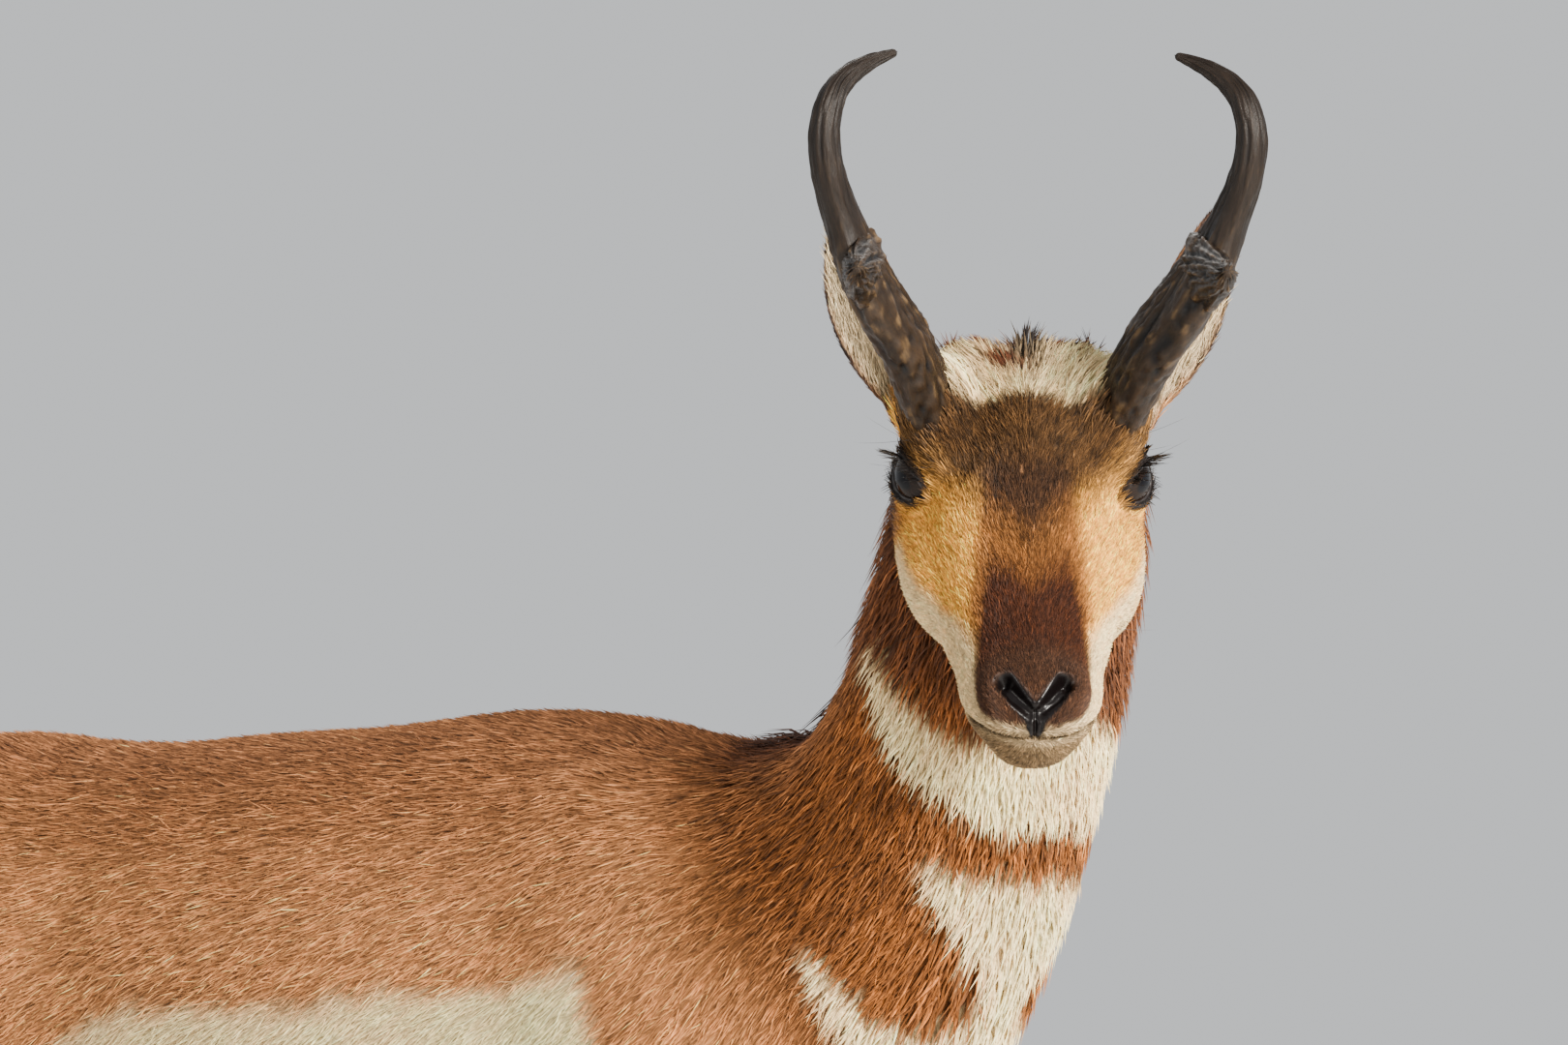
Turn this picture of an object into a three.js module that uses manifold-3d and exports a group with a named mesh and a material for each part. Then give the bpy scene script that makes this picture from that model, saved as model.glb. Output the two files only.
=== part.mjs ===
// A life-size pronghorn buck that stands square and looks round over its right shoulder.
// X runs forward along the back, Y to the animal's left and Z up; lengths are millimetres and angles degrees.
// The origin is on the ground under the middle of the model's box.
import * as THREE from 'three';
import Module from 'manifold-3d';
import { mergeVertices } from 'three/addons/utils/BufferGeometryUtils.js';

const wasm = await Module();
wasm.setup();

// Gap kept between two neighbouring pieces
const SEAM = 0.3;

// Head: where the midpoint between the eyes is, and how the head is turned from facing straight ahead
const EYES_AT = new THREE.Vector3(518, -60, 1023);
const HEAD_YAW = -49.5;
const HEAD_PITCH = 40;
const HEAD_ROLL = -1;
const EYE_RADIUS = 21;
const EYE_HALF_SPACING = 49;
const LID_THICKNESS = 3;
// The way an eye looks, from straight ahead towards its own side, and above the level
const EYE_OUTWARD = 64;
const EYE_UPWARD = 16;
const LID_OPENING_HALF_LENGTH = 18;
const LID_OPENING_HALF_HEIGHT = 11;
const MOUTH_GROOVE = 1.6;
const MOUTH_DEPTH = 4;

// Feet
const HOOF_TOP = 50;
const TOE_HALF_WIDTH = 10.5;
const TOE_SPREAD = 11.6;
const SOLE_HALF_LENGTH = 32;
const CORONET_HALF_LENGTH = 23;
const FOOT_SIDE = 85;

// Rows of [x, y, z, half width, half depth on the upper side, half depth on the lower side].
// The trunk runs from the rump to the poll; on the neck the upper side is the nape.
const TRUNK = [
  [-392, 0, 738, 62, 72, 92],
  [-340, 0, 730, 90, 116, 125],
  [-260, 0, 722, 102, 143, 148],
  [-165, 0, 713, 104, 150, 150],
  [-70, 0, 703, 118, 167, 168],
  [30, 0, 697, 125, 179, 180],
  [130, 0, 698, 121, 188, 185],
  [220, 0, 708, 110, 180, 188],
  [300, 0, 730, 97, 158, 168],
  [365, -1, 766, 86, 132, 108],
  [412, -3, 818, 77, 101, 86],
  [440, -6, 880, 72, 77, 83],
  [460, -10, 945, 68, 68, 80],
  [477, -15, 1005, 64, 64, 78],
  [490, -22, 1052, 56, 54, 62],
];
const TRUNK_POWER = 2.15;
const TRUNK_RUMP_CAP = 52;
const TRUNK_POLL_CAP = 24;

// The legs run from inside the trunk to the coronet; the upper side is the front of the leg.
const FORELEG = [
  [262, 62, 690, 40, 64, 66],
  [250, 74, 620, 42, 60, 62],
  [240, 81, 560, 37, 45, 57],
  [238, 84, 500, 30, 36, 42],
  [240, 85, 430, 24, 28, 30],
  [243, 85, 372, 20.5, 22.5, 23],
  [244, 85, 338, 22.5, 25, 22],
  [242, 85, 302, 19, 20, 20],
  [240, 85, 262, 14.5, 15.5, 17],
  [239, 85, 200, 13, 14.5, 17],
  [238, 85, 150, 14, 15, 19],
  [240, 85, 118, 18, 18, 22.5],
  [250, 85, 88, 15.5, 16, 18],
  [258, 85, 66, 18, 19, 20],
  [263, 85, 44, 20, 22, 23],
];
const HIND_LEG = [
  [-285, 58, 700, 40, 92, 80],
  [-245, 76, 622, 44, 72, 78],
  [-242, 85, 556, 38, 57, 64],
  [-268, 88, 500, 30, 41, 49],
  [-303, 88, 450, 22.5, 28, 33],
  [-334, 87, 412, 18, 22, 26],
  [-350, 86, 384, 20, 22, 30],
  [-353, 86, 350, 19, 23, 24],
  [-350, 86, 308, 15.5, 18, 19],
  [-347, 86, 240, 13.5, 15.5, 18],
  [-344, 86, 160, 14, 15.5, 19],
  [-342, 86, 120, 18, 18.5, 23.5],
  [-331, 86, 88, 15.5, 16, 18.5],
  [-323, 86, 66, 18, 19, 20],
  [-318, 86, 44, 20, 22, 23],
];
// How far forward of square each foot is set, and the levels that part a leg at its knee or hock and its fetlock
const LEGS = [
  { name: 'foreleg_right', rows: FORELEG, side: -1, step: -6, knee: 322, fetlock: 102 },
  { name: 'foreleg_left', rows: FORELEG, side: 1, step: 22, knee: 322, fetlock: 102 },
  { name: 'hindleg_right', rows: HIND_LEG, side: -1, step: -22, knee: 360, fetlock: 102 },
  { name: 'hindleg_left', rows: HIND_LEG, side: 1, step: 14, knee: 360, fetlock: 102 },
];
const STEP_FROM = 520;

const TAIL = [
  [-368, 0, 798, 15, 17, 17],
  [-403, 0, 796, 19, 17, 16],
  [-430, 0, 772, 24, 15, 15],
  [-444, 0, 735, 25, 13, 14],
  [-448, 0, 697, 16, 9, 9],
];
const TAIL_CAP = 14;

// Head rows, forward from the poll along the nose, in the head's own frame with its origin between the eyes
const HEAD = [
  [-76, 0, -6, 44, 41, 34],
  [-56, 0, -14, 56, 62, 50],
  [-30, 0, -20, 60, 71, 60],
  [0, 0, -22, 61, 71, 60],
  [30, 0, -25, 61, 67, 54],
  [60, 0, -27, 56, 60, 45],
  [88, 0, -27, 49.5, 51, 37],
  [115, 0, -25, 43, 42, 32],
  [142, 0, -23, 37.5, 35, 31],
  [164, 0, -22, 34, 30, 31],
  [181, 0, -22, 27, 23, 27],
];
const HEAD_POLL_CAP = 14;
const HEAD_NOSE_CAP = 13;
// How round a section is: the face narrows towards the bridge of the nose and is fuller below
const HEAD_UPPER_POWER = 1.75;
const HEAD_LOWER_POWER = 2.2;

// Horn: rows of [x, half spacing, z, half thickness, half depth behind, half depth in front] from root to tip
const HORN = [
  [-20, 44, 16, 15, 23, 24],
  [-20, 55, 44, 15, 25, 26],
  [-22, 68.5, 80, 14.2, 25, 29],
  [-24, 86.5, 115, 13, 23, 32],
  [-27, 98.5, 140, 11.8, 19, 29],
  [-32, 107.5, 165, 10.4, 14, 16],
  [-39, 114.5, 187, 9.5, 12, 12.5],
  [-50, 117, 205, 8.8, 10.5, 10.5],
  [-64, 113, 217, 7.8, 8.8, 8.8],
  [-78, 104, 221, 6.3, 6.8, 6.8],
  [-89, 92, 222, 4.5, 4.8, 4.8],
  [-97, 79, 222, 2.6, 2.6, 2.6],
];
const PRONG = [
  [-26, 91, 126, 10, 24, 26],
  [-6, 95, 145, 9.5, 17, 21],
  [14, 99, 162, 8, 11, 14],
  [30, 101, 175, 5.8, 7.5, 8.5],
  [40, 101, 186, 3.2, 3.8, 3.8],
];

// Ear: root, tip, the way its cup faces, and rows of [share of length, half width, cup depth]
const EAR_ROOT = [-53, 64, 12];
const EAR_TIP = [-138, 100, 78];
const EAR_FACES = [0.5, 0.72, 0.5];
const EAR_WALL = 2.8;
const EAR = [
  [-0.12, 13, 18],
  [0, 15, 20],
  [0.12, 20, 20],
  [0.28, 24.5, 16],
  [0.45, 26, 12],
  [0.62, 23.5, 8.5],
  [0.78, 17.5, 6.5],
  [0.9, 11, 4.6],
  [1, 2.4, 3],
];
const EAR_LEAN_BACK = -7;
// The left ear is held a little further out than the right
const LEFT_EAR_OUT = 12;

// Mane: flat, tapered locks down the nape, given as a stretch of the rows of the trunk, and a tuft on the crown
const MANE_LOCKS = 24;
const MANE_FROM_ROW = 13.75;
const MANE_TO_ROW = 9.3;
const MANE_LOCK = { length: 60, halfWidth: 9, halfThickness: 2.6, sunk: 9, lift: 10, spread: 16 };
const CROWN_LOCK = { length: 20, halfWidth: 5.5, halfThickness: 2, sunk: 6, lift: 7, spread: 9 };
const CROWN_LEVEL = 43;
const CROWN_LOCKS = [
  [-50, 0],
  [-52, 7],
  [-58, -2],
  [-60, 6],
  [-66, 2],
];

// Colours, roughness
const COAT = { color: 0x9c6236, roughness: 0.85 };
const WHITE_COAT = { color: 0xe6ddcb, roughness: 0.88 };
const FACE_COAT = { color: 0x6d4426, roughness: 0.85 };
const HORN_BLACK = { color: 0x241d19, roughness: 0.5 };
const HOOF_BLACK = { color: 0x1f1b1a, roughness: 0.45 };
const EYE_BLACK = { color: 0x0b0808, roughness: 0.08 };

const radians = THREE.MathUtils.degToRad;
const LEFTWARD = new THREE.Vector3(0, 1, 0);

// An ellipsoid that swells a surface; lean tips its top towards -X
function bump(centre, radii, blend, lean = 0) {
  const turn = new THREE.Quaternion().setFromAxisAngle(LEFTWARD, radians(-lean));
  return {
    centre: new THREE.Vector3(...centre),
    radii: new THREE.Vector3(...radii),
    unturn: turn.invert(),
    blend,
  };
}

// The same bump on the left and on the right
function bumpPair(centre, radii, blend, lean) {
  const [x, y, z] = centre;
  return [bump([x, y, z], radii, blend, lean), bump([x, -y, z], radii, blend, lean)];
}

// About how far a point lies outside a bump
function outsideOf(point, b) {
  const q = point.clone().sub(b.centre).applyQuaternion(b.unturn).divide(b.radii);
  const k0 = q.length();
  const k1 = q.divide(b.radii).length();
  return k1 < 1e-9 ? -b.radii.x : (k0 * (k0 - 1)) / k1;
}

function smoothMin(a, b, blend) {
  const h = Math.max(blend - Math.abs(a - b), 0) / blend;
  return Math.min(a, b) - (h * h * blend) / 4;
}

// How far a ray from the centre runs before it leaves a section of that radius blended with the bumps
function reach(centre, way, radius, bumps) {
  const field = (r) => {
    const point = centre.clone().addScaledVector(way, r);
    return bumps.reduce((d, b) => smoothMin(d, outsideOf(point, b), b.blend), r - radius);
  };
  const stride = 2;
  let r = radius;
  while (field(r) < 0 && r < radius + 160) r += stride;
  if (r === radius) return radius;
  let low = r - stride;
  for (let i = 0; i < 12; i++) {
    const middle = (low + r) / 2;
    if (field(middle) < 0) low = middle;
    else r = middle;
  }
  return r;
}

// A path with a size at each point of it, both smooth through the rows
function pathOf(rows) {
  const line = new THREE.CatmullRomCurve3(rows.map(([x, y, z]) => new THREE.Vector3(x, y, z)), false, 'catmullrom');
  const size = new THREE.CatmullRomCurve3(rows.map((r) => new THREE.Vector3(r[3], r[4], r[5])), false, 'catmullrom');
  return { line, size };
}

function frameAt(path, t) {
  const centre = path.line.getPoint(t);
  const ahead = path.line.getPoint(Math.min(1, t + 0.01));
  const tangent = ahead.sub(path.line.getPoint(Math.max(0, t - 0.01))).normalize();
  const side = LEFTWARD.clone().addScaledVector(tangent, -tangent.y).normalize();
  const upper = new THREE.Vector3().crossVectors(tangent, side);
  return { centre, tangent, side, upper };
}

// The way from the middle of a section at an angle, and how far the surface lies along it
function surfaceAt(frame, size, angle, { bumps, power, upperPower = power }) {
  const c = Math.cos(angle);
  const s = Math.sin(angle);
  const way = frame.side.clone().multiplyScalar(c).addScaledVector(frame.upper, s);
  const [half, roundness] = s > 0 ? [size.y, upperPower] : [size.z, power];
  const radius = ((Math.abs(c) / size.x) ** roundness + (Math.abs(s) / half) ** roundness) ** (-1 / roundness);
  return { way, distance: reach(frame.centre, way, radius, bumps) };
}

// One ring of points round a path; grow moves the surface out
function ringAt(frame, size, options) {
  return Array.from({ length: options.sides }, (_, i) => {
    const angle = (2 * Math.PI * (i + 0.5)) / options.sides;
    const { way, distance } = surfaceAt(frame, size, angle, options);
    return frame.centre.clone().addScaledVector(way, distance + options.grow);
  });
}

// A closed solid from rings of points, closed at each end by a fan to a point
function loft(rings, firstTip, lastTip) {
  const sides = rings[0].length;
  const points = [...rings.flat(), firstTip, lastTip];
  const first = points.length - 2;
  const last = points.length - 1;
  const faces = [];
  for (let i = 0; i < sides; i++) {
    const next = (i + 1) % sides;
    faces.push([first, next, i]);
    for (let j = 0; j < rings.length - 1; j++) {
      const low = j * sides;
      const high = low + sides;
      faces.push([low + i, low + next, high + next], [low + i, high + next, high + i]);
    }
    const top = (rings.length - 1) * sides;
    faces.push([last, top + i, top + next]);
  }
  return solidOf(points, faces);
}

// A closed solid from points and triangles, turned to face out
function solidOf(points, faces) {
  const vertProperties = new Float32Array(points.flatMap((p) => p.toArray()));
  const make = (triangles) =>
    new wasm.Manifold(new wasm.Mesh({ numProp: 3, vertProperties, triVerts: new Uint32Array(triangles.flat()) }));
  const solid = make(faces);
  return solid.volume() > 0 ? solid : make(faces.map(([a, b, c]) => [a, c, b]));
}

function solidOfGeometry(geometry) {
  geometry.deleteAttribute('normal');
  geometry.deleteAttribute('uv');
  const merged = mergeVertices(geometry, 1e-3);
  const vertProperties = merged.attributes.position.array;
  return new wasm.Manifold(new wasm.Mesh({ numProp: 3, vertProperties, triVerts: new Uint32Array(merged.index.array) }));
}

// Sweeps a section along a path; caps round off the ends over the given lengths
function sweep(rows, { sides, steps, startCap, endCap, bumps = [], grow = 0, power = 2, upperPower = power }) {
  const path = pathOf(rows);
  const options = { sides, bumps, grow, power, upperPower };
  const capAngles = [72, 50, 25];
  const rings = [];
  const capRing = (t, length, angle, direction) => {
    const frame = frameAt(path, t);
    frame.centre.addScaledVector(frame.tangent, direction * length * Math.sin(radians(angle)));
    const size = path.size.getPoint(t).multiplyScalar(Math.cos(radians(angle)));
    return ringAt(frame, size, options);
  };
  const start = frameAt(path, 0);
  const end = frameAt(path, 1);
  capAngles.forEach((angle) => rings.push(capRing(0, startCap, angle, -1)));
  for (let i = 0; i <= steps; i++) {
    rings.push(ringAt(frameAt(path, i / steps), path.size.getPoint(i / steps), options));
  }
  [...capAngles].reverse().forEach((angle) => rings.push(capRing(1, endCap, angle, 1)));
  const firstTip = start.centre.addScaledVector(start.tangent, -startCap - grow);
  const lastTip = end.centre.addScaledVector(end.tangent, endCap + grow);
  return loft(rings, firstTip, lastTip);
}

// A closed sheet between two like grids of points, split into triangles alike on both faces
function sheet(outer, inner) {
  const across = outer[0].length;
  const along = outer.length;
  const offset = across * along;
  const points = [...outer.flat(), ...inner.flat()];
  const faces = [];
  const quad = (a, b, c, d) => faces.push([a, b, c], [a, c, d]);
  for (let j = 0; j < along - 1; j++) {
    for (let i = 0; i < across - 1; i++) {
      const a = j * across + i;
      const b = a + across;
      faces.push([a, a + 1, b + 1], [a, b + 1, b]);
      faces.push([offset + a, offset + b + 1, offset + a + 1], [offset + a, offset + b, offset + b + 1]);
    }
    const left = j * across;
    const right = left + across - 1;
    quad(left, left + across, offset + left + across, offset + left);
    quad(right + across, right, offset + right, offset + right + across);
  }
  const last = (along - 1) * across;
  for (let i = 0; i < across - 1; i++) {
    quad(i + 1, i, offset + i, offset + i + 1);
    quad(last + i, last + i + 1, offset + last + i + 1, offset + last + i);
  }
  return solidOf(points, faces);
}

// A thin slab across a path or level, which parts what it is taken from
function partingSlab(centre, normal) {
  const slab = new THREE.BoxGeometry(900, 900, SEAM);
  slab.applyQuaternion(new THREE.Quaternion().setFromUnitVectors(new THREE.Vector3(0, 0, 1), normal));
  slab.translate(centre.x, centre.y, centre.z);
  return solidOfGeometry(slab);
}

function largest(solid) {
  return solid.decompose().sort((a, b) => b.volume() - a.volume())[0];
}

function centreOf(solid) {
  const { min, max } = solid.boundingBox();
  return new THREE.Vector3(...min).add(new THREE.Vector3(...max)).multiplyScalar(0.5);
}

// Shoulder, upper arm, haunch and hamstrings
const trunkBumps = [
  ...bumpPair([268, 66, 705], [62, 46, 150], 44, 22),
  ...bumpPair([262, 70, 610], [66, 44, 70], 40),
  ...bumpPair([-272, 60, 698], [104, 52, 142], 64, 18),
  ...bumpPair([-330, 54, 690], [62, 44, 96], 64, 10),
  bump([372, 0, 650], [46, 52, 60], 40),
];

function trunkSolid(grow) {
  return sweep(TRUNK, {
    sides: 26,
    steps: 39,
    startCap: TRUNK_RUMP_CAP,
    endCap: TRUNK_POLL_CAP,
    bumps: trunkBumps,
    grow,
    power: TRUNK_POWER,
  });
}

// A steady value from 0 to 1 for the nth lock, so that no two locks are alike
function vary(n, salt) {
  const value = Math.sin(n * 12.9898 + salt * 78.233) * 43758.5453;
  return value - Math.floor(value);
}

// One flat, tapered lock. It leaves the surface along out, bends over and lies along lie.
function lockSolid(root, out, lie, n, { length, halfWidth, halfThickness, sunk, lift, spread }) {
  const across = lie.clone().cross(out).normalize();
  const lean = (vary(n, 1) - 0.5) * spread;
  const long = length * (0.85 + 0.3 * vary(n, 2));
  const high = lift * (0.75 + 0.5 * vary(n, 3));
  const spine = (t) =>
    root
      .clone()
      .addScaledVector(lie, long * t * (0.35 + 0.65 * t))
      .addScaledVector(out, -sunk + (sunk + high) * Math.sin((Math.PI * Math.min(1, t * 1.25)) / 2) - 4 * t * t)
      .addScaledVector(across, lean * t * t);
  const rings = [0, 0.25, 0.5, 0.75].map((t) => {
    const flat = halfWidth * (1 - 0.65 * t * t);
    const thick = halfThickness * (1 - 0.6 * t);
    const normal = spine(t + 0.02).sub(spine(t)).cross(across).normalize();
    return [
      spine(t).addScaledVector(across, flat),
      spine(t).addScaledVector(normal, thick),
      spine(t).addScaledVector(across, -flat),
      spine(t).addScaledVector(normal, -thick),
    ];
  });
  return loft(rings, spine(0).addScaledVector(out, -1), spine(1));
}

// The mane runs down the nape from behind the crown, its locks to the left and right in turn
function withMane(trunk) {
  const path = pathOf(TRUNK);
  const last = TRUNK.length - 1;
  const locks = Array.from({ length: MANE_LOCKS }, (_, i) => {
    const t = THREE.MathUtils.lerp(MANE_FROM_ROW, MANE_TO_ROW, i / (MANE_LOCKS - 1)) / last;
    const frame = frameAt(path, t);
    const angle = Math.PI / 2 + radians((i % 2 ? 1 : -1) * (4 + 5 * vary(i, 4)));
    const { way, distance } = surfaceAt(frame, path.size.getPoint(t), angle, { bumps: trunkBumps, power: TRUNK_POWER });
    const root = frame.centre.clone().addScaledVector(way, distance);
    return lockSolid(root, way, frame.tangent.clone().negate(), i, MANE_LOCK);
  });
  return locks.reduce((solid, lock) => solid.add(lock), trunk);
}

// The dark tuft that stands on the crown between the horns
function withCrownTuft(skull) {
  const out = new THREE.Vector3(-0.35, 0, 1).normalize();
  const lie = new THREE.Vector3(-1, 0, 0.35).normalize();
  const locks = CROWN_LOCKS.map(([x, y], i) => lockSolid(new THREE.Vector3(x, y, CROWN_LEVEL), out, lie, i, CROWN_LOCK));
  return locks.reduce((solid, lock) => solid.add(lock), skull);
}

// The trunk, parted at the flank, behind the shoulder, at the base of the neck and half way up it
function trunkParts(headInTrunk) {
  const path = pathOf(TRUNK);
  const last = TRUNK.length - 1;
  const cuts = [3.1, 6.1, 9.45, 11.6].map((row) => frameAt(path, row / last));
  const whole = withMane(trunkSolid(0)).subtract(headInTrunk);
  const parted = cuts.reduce((solid, cut) => solid.subtract(partingSlab(cut.centre, cut.tangent)), whole);
  const pieces = parted.decompose().sort((a, b) => b.volume() - a.volume()).slice(0, 5);
  const along = (piece) => centreOf(piece).x + centreOf(piece).z;
  return pieces.sort((a, b) => along(a) - along(b));
}

// One leg without its toes, parted at the knee or hock and at the fetlock
function legParts({ rows, side, step, knee, fetlock }, trunkGrown) {
  const placed = rows.map(([x, y, z, ...size]) => {
    const lowered = Math.max(0, 1 - z / STEP_FROM);
    return [x + step * lowered, side * y, z, ...size];
  });
  const below = new THREE.BoxGeometry(400, 400, 200);
  below.translate(placed.at(-1)[0], side * FOOT_SIDE, HOOF_TOP - 100);
  const whole = sweep(placed, { sides: 12, steps: 24, startCap: 20, endCap: 8, power: 2.1 });
  const level = (z) => partingSlab(new THREE.Vector3(placed[0][0], 0, z), new THREE.Vector3(0, 0, 1));
  const trimmed = whole.subtract(solidOfGeometry(below)).subtract(trunkGrown);
  const pieces = trimmed.subtract(level(knee)).subtract(level(fetlock)).decompose();
  const biggest = pieces.sort((a, b) => b.volume() - a.volume()).slice(0, 3);
  return biggest.sort((a, b) => centreOf(b).z - centreOf(a).z);
}

// One toe of a cloven hoof: a flat sole, a pointed front and a wall that slopes back to the coronet
function toeSolid(x, y, inward) {
  const levels = [0, 0.25, 0.6, 1];
  const sides = 14;
  const rings = levels.map((level) => {
    const half = THREE.MathUtils.lerp(SOLE_HALF_LENGTH, CORONET_HALF_LENGTH, level);
    const middle = x + 8 - 9 * level;
    const bulge = 1 - 0.12 * level;
    return Array.from({ length: sides }, (_, i) => {
      const angle = (2 * Math.PI * i) / sides;
      const along = Math.cos(angle);
      const across = Math.sin(angle) * TOE_HALF_WIDTH * bulge * (1 - 0.32 * along);
      const flatInside = across * inward > 0 ? 0.82 : 1;
      return new THREE.Vector3(middle + half * along, y + across * flatInside, level * (HOOF_TOP - SEAM));
    });
  });
  const tip = (ring) => ring.reduce((sum, p) => sum.add(p), new THREE.Vector3()).divideScalar(sides);
  return loft(rings, tip(rings[0]), tip(rings.at(-1)));
}

const headBumps = [
  ...bumpPair([0, EYE_HALF_SPACING, 0], [1, 1, 1].map((k) => k * (EYE_RADIUS + LID_THICKNESS)), 9),
  ...bumpPair([-10, 42, 24], [30, 20, 16], 12),
  ...bumpPair([-20, 42, -42], [42, 26, 36], 18),
  ...bumpPair([34, 42, -36], [46, 24, 24], 18),
  ...bumpPair([-20, 47, 34], [25, 18, 18], 14),
  ...bumpPair([-45, 26, 29], [28, 24, 17], 14),
  ...bumpPair([-50, 50, 6], [20, 18, 20], 14),
  ...bumpPair([169, 17, -9], [18, 14, 14], 9),
  ...bumpPair([150, 20, -27], [34, 17, 13], 8),
  bump([167, 0, -41], [20, 21, 12], 9),
];

function headShape(grow, sides = 28, steps = 34) {
  return sweep(HEAD, {
    sides,
    steps,
    startCap: HEAD_POLL_CAP,
    endCap: HEAD_NOSE_CAP,
    bumps: headBumps,
    grow,
    power: HEAD_LOWER_POWER,
    upperPower: HEAD_UPPER_POWER,
  });
}

function eyeBall(side, radius) {
  const ball = new THREE.SphereGeometry(radius, 18, 12);
  ball.translate(0, side * EYE_HALF_SPACING, 0);
  return solidOfGeometry(ball);
}

// The almond hole between the lids, cut along the way the eye looks
function lidOpening(side) {
  const almond = new THREE.Shape();
  const l = LID_OPENING_HALF_LENGTH;
  const h = LID_OPENING_HALF_HEIGHT;
  almond.moveTo(-l, 0);
  almond.bezierCurveTo(-l * 0.75, h * 1.15, l * 0.45, h * 1.35, l, h * 0.05);
  almond.bezierCurveTo(l * 0.6, -h * 1.2, -l * 0.6, -h * 1.2, -l, 0);
  const prism = new THREE.ExtrudeGeometry(almond, { depth: 34, bevelEnabled: false, curveSegments: 8 });
  prism.translate(0, 0, 8);
  const yaw = side * radians(EYE_OUTWARD);
  const look = new THREE.Vector3(Math.cos(yaw), Math.sin(yaw), Math.sin(radians(EYE_UPWARD))).normalize();
  const back = look.clone().cross(new THREE.Vector3(0, 0, 1)).normalize().multiplyScalar(side);
  const up = look.clone().cross(back).multiplyScalar(-side).normalize();
  const across = up.clone().cross(look).normalize();
  prism.applyMatrix4(new THREE.Matrix4().makeBasis(across, up, look));
  prism.translate(0, side * EYE_HALF_SPACING, 0);
  return solidOfGeometry(prism);
}

// A nostril is a bent slot from the middle of the nose, out and up
function nostril(side) {
  const parts = [
    [[190, 5, -7], [9, 4.2, 4.4]],
    [[184, 11, -2], [10, 5.6, 4.4]],
    [[176, 18, 2], [10, 5.6, 4.8]],
  ];
  return parts
    .map(([centre, radii]) => {
      const ball = new THREE.SphereGeometry(1, 9, 6).scale(...radii);
      return solidOfGeometry(ball.translate(centre[0], side * centre[1], centre[2]));
    })
    .reduce((a, b) => a.add(b));
}

// The line of the mouth and the cleft of the upper lip, a few millimetres deep all round the muzzle
function mouthGroove() {
  const lip = [
    [103, -38],
    [131, -40],
    [159, -37],
    [221, -30],
  ];
  const half = MOUTH_GROOVE / 2;
  const strip = new THREE.Shape([
    ...lip.map(([x, z]) => new THREE.Vector2(x, z - half)),
    ...[...lip].reverse().map(([x, z]) => new THREE.Vector2(x, z + half)),
  ]);
  const plate = new THREE.ExtrudeGeometry(strip, { depth: 120, bevelEnabled: false });
  plate.rotateX(Math.PI / 2).translate(0, 60, 0);
  const cleft = new THREE.BoxGeometry(40, 1.6, 17).translate(198, 0, -23);
  return solidOfGeometry(plate).add(solidOfGeometry(cleft)).subtract(headShape(-MOUTH_DEPTH, 16, 16));
}

// Mirrors a table of rows to one side
function onSide(rows, side) {
  return rows.map(([x, y, ...rest]) => [x, side * y, ...rest]);
}

function hornSolid(side, headGrown) {
  const beam = sweep(onSide(HORN, side), { sides: 12, steps: 23, startCap: 4, endCap: 3 });
  const prong = sweep(onSide(PRONG, side), { sides: 10, steps: 7, startCap: 4, endCap: 3 });
  return largest(beam.add(prong).subtract(headGrown));
}

// The ear is a leaf rolled into a cup: deep and narrow at the root, flatter towards a pointed tip
function earSolid(side, headGrown) {
  const out = side > 0 ? LEFT_EAR_OUT : 0;
  const root = new THREE.Vector3(EAR_ROOT[0], side * (EAR_ROOT[1] + out / 2), EAR_ROOT[2]);
  const tip = new THREE.Vector3(EAR_TIP[0], side * (EAR_TIP[1] + out), EAR_TIP[2]);
  const axis = tip.clone().sub(root);
  const length = axis.length();
  axis.normalize();
  const faces = new THREE.Vector3(EAR_FACES[0], side * EAR_FACES[1], EAR_FACES[2]);
  faces.addScaledVector(axis, -faces.dot(axis)).normalize();
  const across = axis.clone().cross(faces).normalize();
  const profile = new THREE.CatmullRomCurve3(EAR.map((r) => new THREE.Vector3(...r)), false, 'catmullrom');
  const columns = 8;
  const rows = 14;
  const grid = (inset) =>
    Array.from({ length: rows + 1 }, (_, j) => {
      const size = profile.getPoint(j / rows);
      const bow = EAR_LEAN_BACK * Math.sin(Math.PI * Math.max(0, size.x));
      const width = Math.max(size.y - 0.5 * inset, 0.6);
      const depth = Math.max(size.z - inset, 0.2);
      return Array.from({ length: columns + 1 }, (_, i) => {
        const a = (i / columns) * 2 - 1;
        const deep = -depth * (1 - a * a) + 0.25 * inset - bow;
        return root
          .clone()
          .addScaledVector(axis, size.x * length)
          .addScaledVector(across, width * Math.sin((a * Math.PI) / 2))
          .addScaledVector(faces, deep);
      });
    });
  return largest(sheet(grid(0), grid(EAR_WALL)).subtract(headGrown));
}

function meshOf(name, solid, material) {
  const { numProp, vertProperties, triVerts } = solid.getMesh();
  const positions = new Float32Array((vertProperties.length / numProp) * 3);
  for (let i = 0; i * numProp < vertProperties.length; i++) {
    positions.set(vertProperties.subarray(i * numProp, i * numProp + 3), i * 3);
  }
  const geometry = new THREE.BufferGeometry()
    .setAttribute('position', new THREE.BufferAttribute(positions, 3))
    .setIndex(new THREE.BufferAttribute(triVerts, 1));
  geometry.computeVertexNormals();
  const mesh = new THREE.Mesh(geometry, new THREE.MeshStandardMaterial({ ...material, metalness: 0 }));
  mesh.name = name;
  return mesh;
}

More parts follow.
